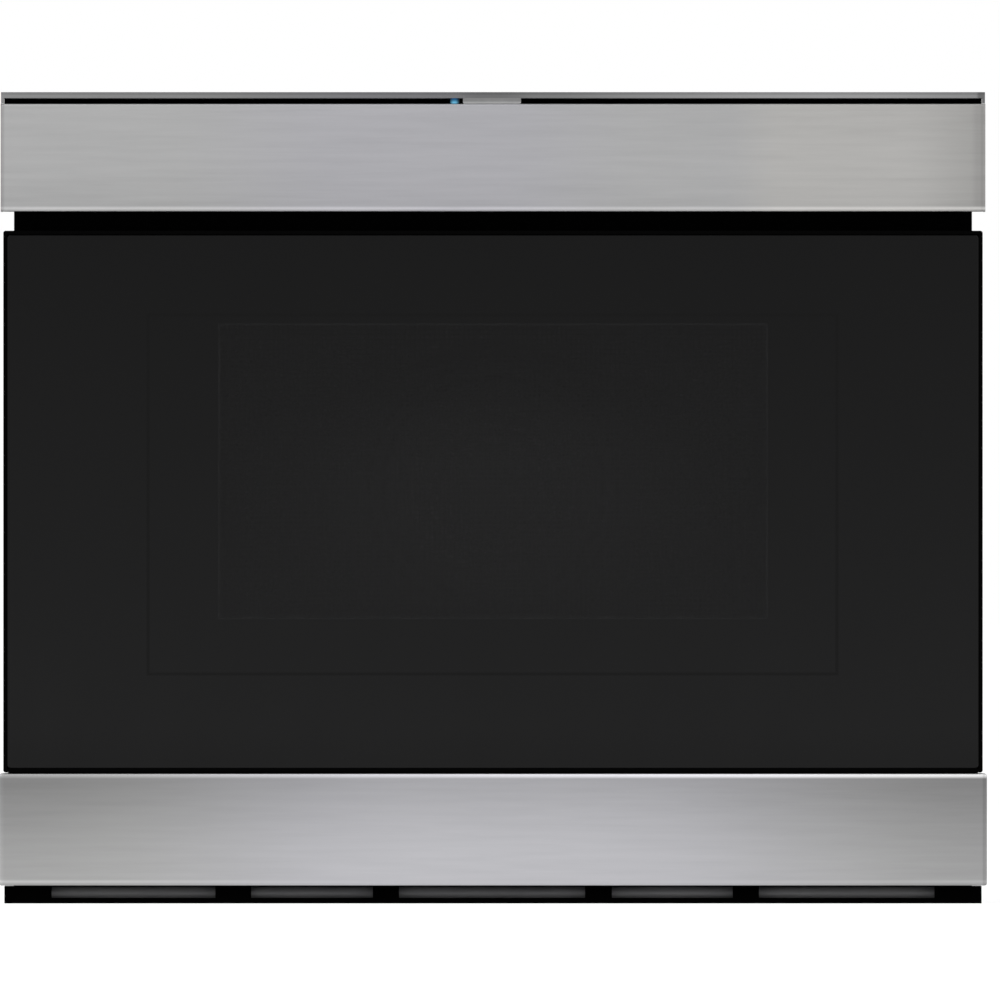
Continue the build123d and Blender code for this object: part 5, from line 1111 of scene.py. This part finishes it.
def touchPlace(x, y):
    # A spot on the glass: x along it, y towards the oven, both from its middle.
    low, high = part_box("touch_glass")
    lean, thick = touch["slope"], touch["thick"]
    middle = Vector(((low.x + high.x) / 2, (low.y + high.y + thick * math.sin(lean)) / 2,
                     (low.z + high.z + thick * math.cos(lean)) / 2))
    return Matrix.Translation(middle) @ Matrix.Rotation(-lean, 4, "X") @ at(x, y, 0)


def addWords(bm, words, size, spot):
    curve = bpy.data.curves.new("words", "FONT")
    curve.body = words
    curve.size = size
    curve.align_x = "CENTER"
    curve.align_y = "CENTER"
    curve.extrude = touch["ink"]
    curve.resolution_u = 3
    writer = bpy.data.objects.new("words", curve)
    mesh = bpy.data.meshes.new_from_object(writer)
    part = bmesh.new()
    part.from_mesh(mesh)
    bmesh.ops.remove_doubles(part, verts=part.verts, dist=1e-7)
    place(bm, part, 0, [spot])
    bpy.data.objects.remove(writer)
    bpy.data.curves.remove(curve)
    bpy.data.meshes.remove(mesh)


def makeTouchMarks():
    shape = touch
    sign, line, ink = shape["sign"], shape["line"], shape["ink"]
    square, lock = sign * shape["square"], sign * shape["lock"]
    bm = bmesh.new()
    places = [(shape["keyFirst"] + shape["keyPitch"] * (n % 5), shape["rows"][n // 5])
              for n in range(10)]
    for n, (x, y) in enumerate(places):
        addWords(bm, str((n + 1) % 10), shape["digit"], touchPlace(x, y))
    start, stop, clock, power, timer, more, less, fan, bowl, latch = [(-x, y) for x, y in places]

    def mark(part, *spots):
        # Each spot is a place and a turn.
        place(bm, part, 0, [touchPlace(*spot) @ at(0, 0, -ink, "z", turn) for spot, turn in spots])

    def bar(left, right, low, high):
        return block((left, low, 0), (right, high, 2 * ink))

    arrow = bmesh.new()
    bmesh.ops.create_circle(arrow, cap_ends=True, radius=sign, segments=3)
    bmesh.ops.solidify(arrow, geom=arrow.faces[:], thickness=2 * ink)
    bmesh.ops.recalc_face_normals(arrow, faces=arrow.faces)
    mark(arrow, (start, -math.pi / 2))
    mark(bar(-square, square, -square, square), (stop, 0))
    mark(tube(sign, sign - line, 2 * ink),
         *((spot, 0) for spot in (clock, power, timer, fan, latch)))
    hands = ((clock, 0.0, 0.75), (clock, -1.2, 0.5), (timer, 0.8, 0.75), (power, 0.0, 1.3))
    for spot, turn, reach in hands:
        mark(bar(-line / 2, line / 2, 0, sign * reach), (spot, turn))
    mark(bar(-square, square, -line / 2, line / 2), (more, 0), (less, 0))
    mark(bar(-line / 2, line / 2, -square, square), (more, 0))
    mark(bar(-line, line, 0, sign * shape["blade"]),
         *((fan, n * math.pi * 2 / 3) for n in range(3)))
    mark(bar(-lock, lock, -lock, sign * shape["lockTop"]), (latch, 0))
    mark(bar(-sign, sign, -line / 2, line / 2),
         *(((bowl[0], bowl[1] + shift), 0) for shift in shape["waves"]))
    finishPiece("touch_marks", bm, finishList("print_white"), "control_pod")
    bm = bmesh.new()
    addWords(bm, "12:00", shape["clock"], touchPlace(0, 0))
    finishPiece("clock_digits", bm, [glowing("clock_blue", clockLook)], "control_pod")


makeTouchMarks()
print("scene: touch marks made")


# A white studio. Its floor and world are brighter to the eye than to the soft light they give.
studio = {"floorSize": 120.0, "floorColour": (0.5, 0.5, 0.5), "floorGlow": 0.7,
          "fibre": 300.0, "floorRoughness": (0.85, 0.95), "worldFill": 0.62}
softboxes = {"key": {"at": (-3.2, -4.6, 4.4), "size": 6.0, "power": 190.0},
             "fill": {"at": (4.2, -3.6, 3.0), "size": 5.0, "power": 90.0},
             "back": {"at": (0.8, 5.0, 4.2), "size": 6.0, "power": 45.0}}
aim = Vector((0, 0, 0.25))


def seenByEye(tree):
    # 1 for camera, glossy and transmission rays, which see the white studio.
    path = addNode(tree, "ShaderNodeLightPath")
    return calc(tree, "MAXIMUM", path.outputs["Is Camera Ray"],
                calc(tree, "MAXIMUM", path.outputs["Is Glossy Ray"],
                     path.outputs["Is Transmission Ray"]))


def makeFloor():
    bm = bmesh.new()
    bmesh.ops.create_grid(bm, x_segments=2, y_segments=2, size=studio["floorSize"] / 2)
    floor = addObject("floor", asMesh("floor", bm))
    material, tree, shader = startMaterial("floor_paper")
    fibre = noise(tree, objectCoords(tree), studio["fibre"], 3.0)
    glow = calc(tree, "MULTIPLY", seenByEye(tree), studio["floorGlow"])
    setInputs(tree, shader, {"Base Color": studio["floorColour"], "Specular IOR Level": 0.0,
                             "Roughness": remap(tree, fibre, 0.0, 1.0, *studio["floorRoughness"]),
                             "Emission Color": (1, 1, 1), "Emission Strength": glow})
    floor.data.materials.append(material)


def makeWorld():
    world = bpy.data.worlds.new("studio")
    bpy.context.scene.world = world
    world.use_nodes = True
    tree = world.node_tree
    fill = studio["worldFill"]
    strength = calc(tree, "MULTIPLY_ADD", seenByEye(tree), 1.0 - fill, fill)
    setInputs(tree, tree.nodes["Background"], {"Color": (1, 1, 1), "Strength": strength})


def makeLights():
    for name, box in softboxes.items():
        light = bpy.data.lights.new(name, "AREA")
        light.shape = "SQUARE"
        light.size = box["size"]
        light.energy = box["power"]
        softbox = addObject(name, light)
        softbox.location = box["at"]
        softbox.rotation_euler = (aim - softbox.location).to_track_quat("-Z", "Y").to_euler()


# The photograph is taken straight from the front, from far away: 1000 px are 613.8 mm of it.
shot = {"distance": 27.0, "width": 0.6138, "acrossMiddle": 0.0043, "heightMiddle": 0.2477,
        "sensor": 36.0, "near": 0.5, "far": 200.0}


def makeCamera():
    data = bpy.data.cameras.new("camera")
    data.sensor_width = shot["sensor"]
    data.lens = data.sensor_width * shot["distance"] / shot["width"]
    data.clip_start = shot["near"]
    data.clip_end = shot["far"]
    camera = addObject("camera", data)
    camera.location = (shot["acrossMiddle"], cadBox[0].y - shot["distance"], shot["heightMiddle"])
    camera.rotation_euler = (math.pi / 2, 0, 0)
    bpy.context.scene.camera = camera


makeFloor()
makeWorld()
makeLights()
makeCamera()
bpy.context.scene.view_settings.view_transform = "Standard"
print("scene: studio and camera made")
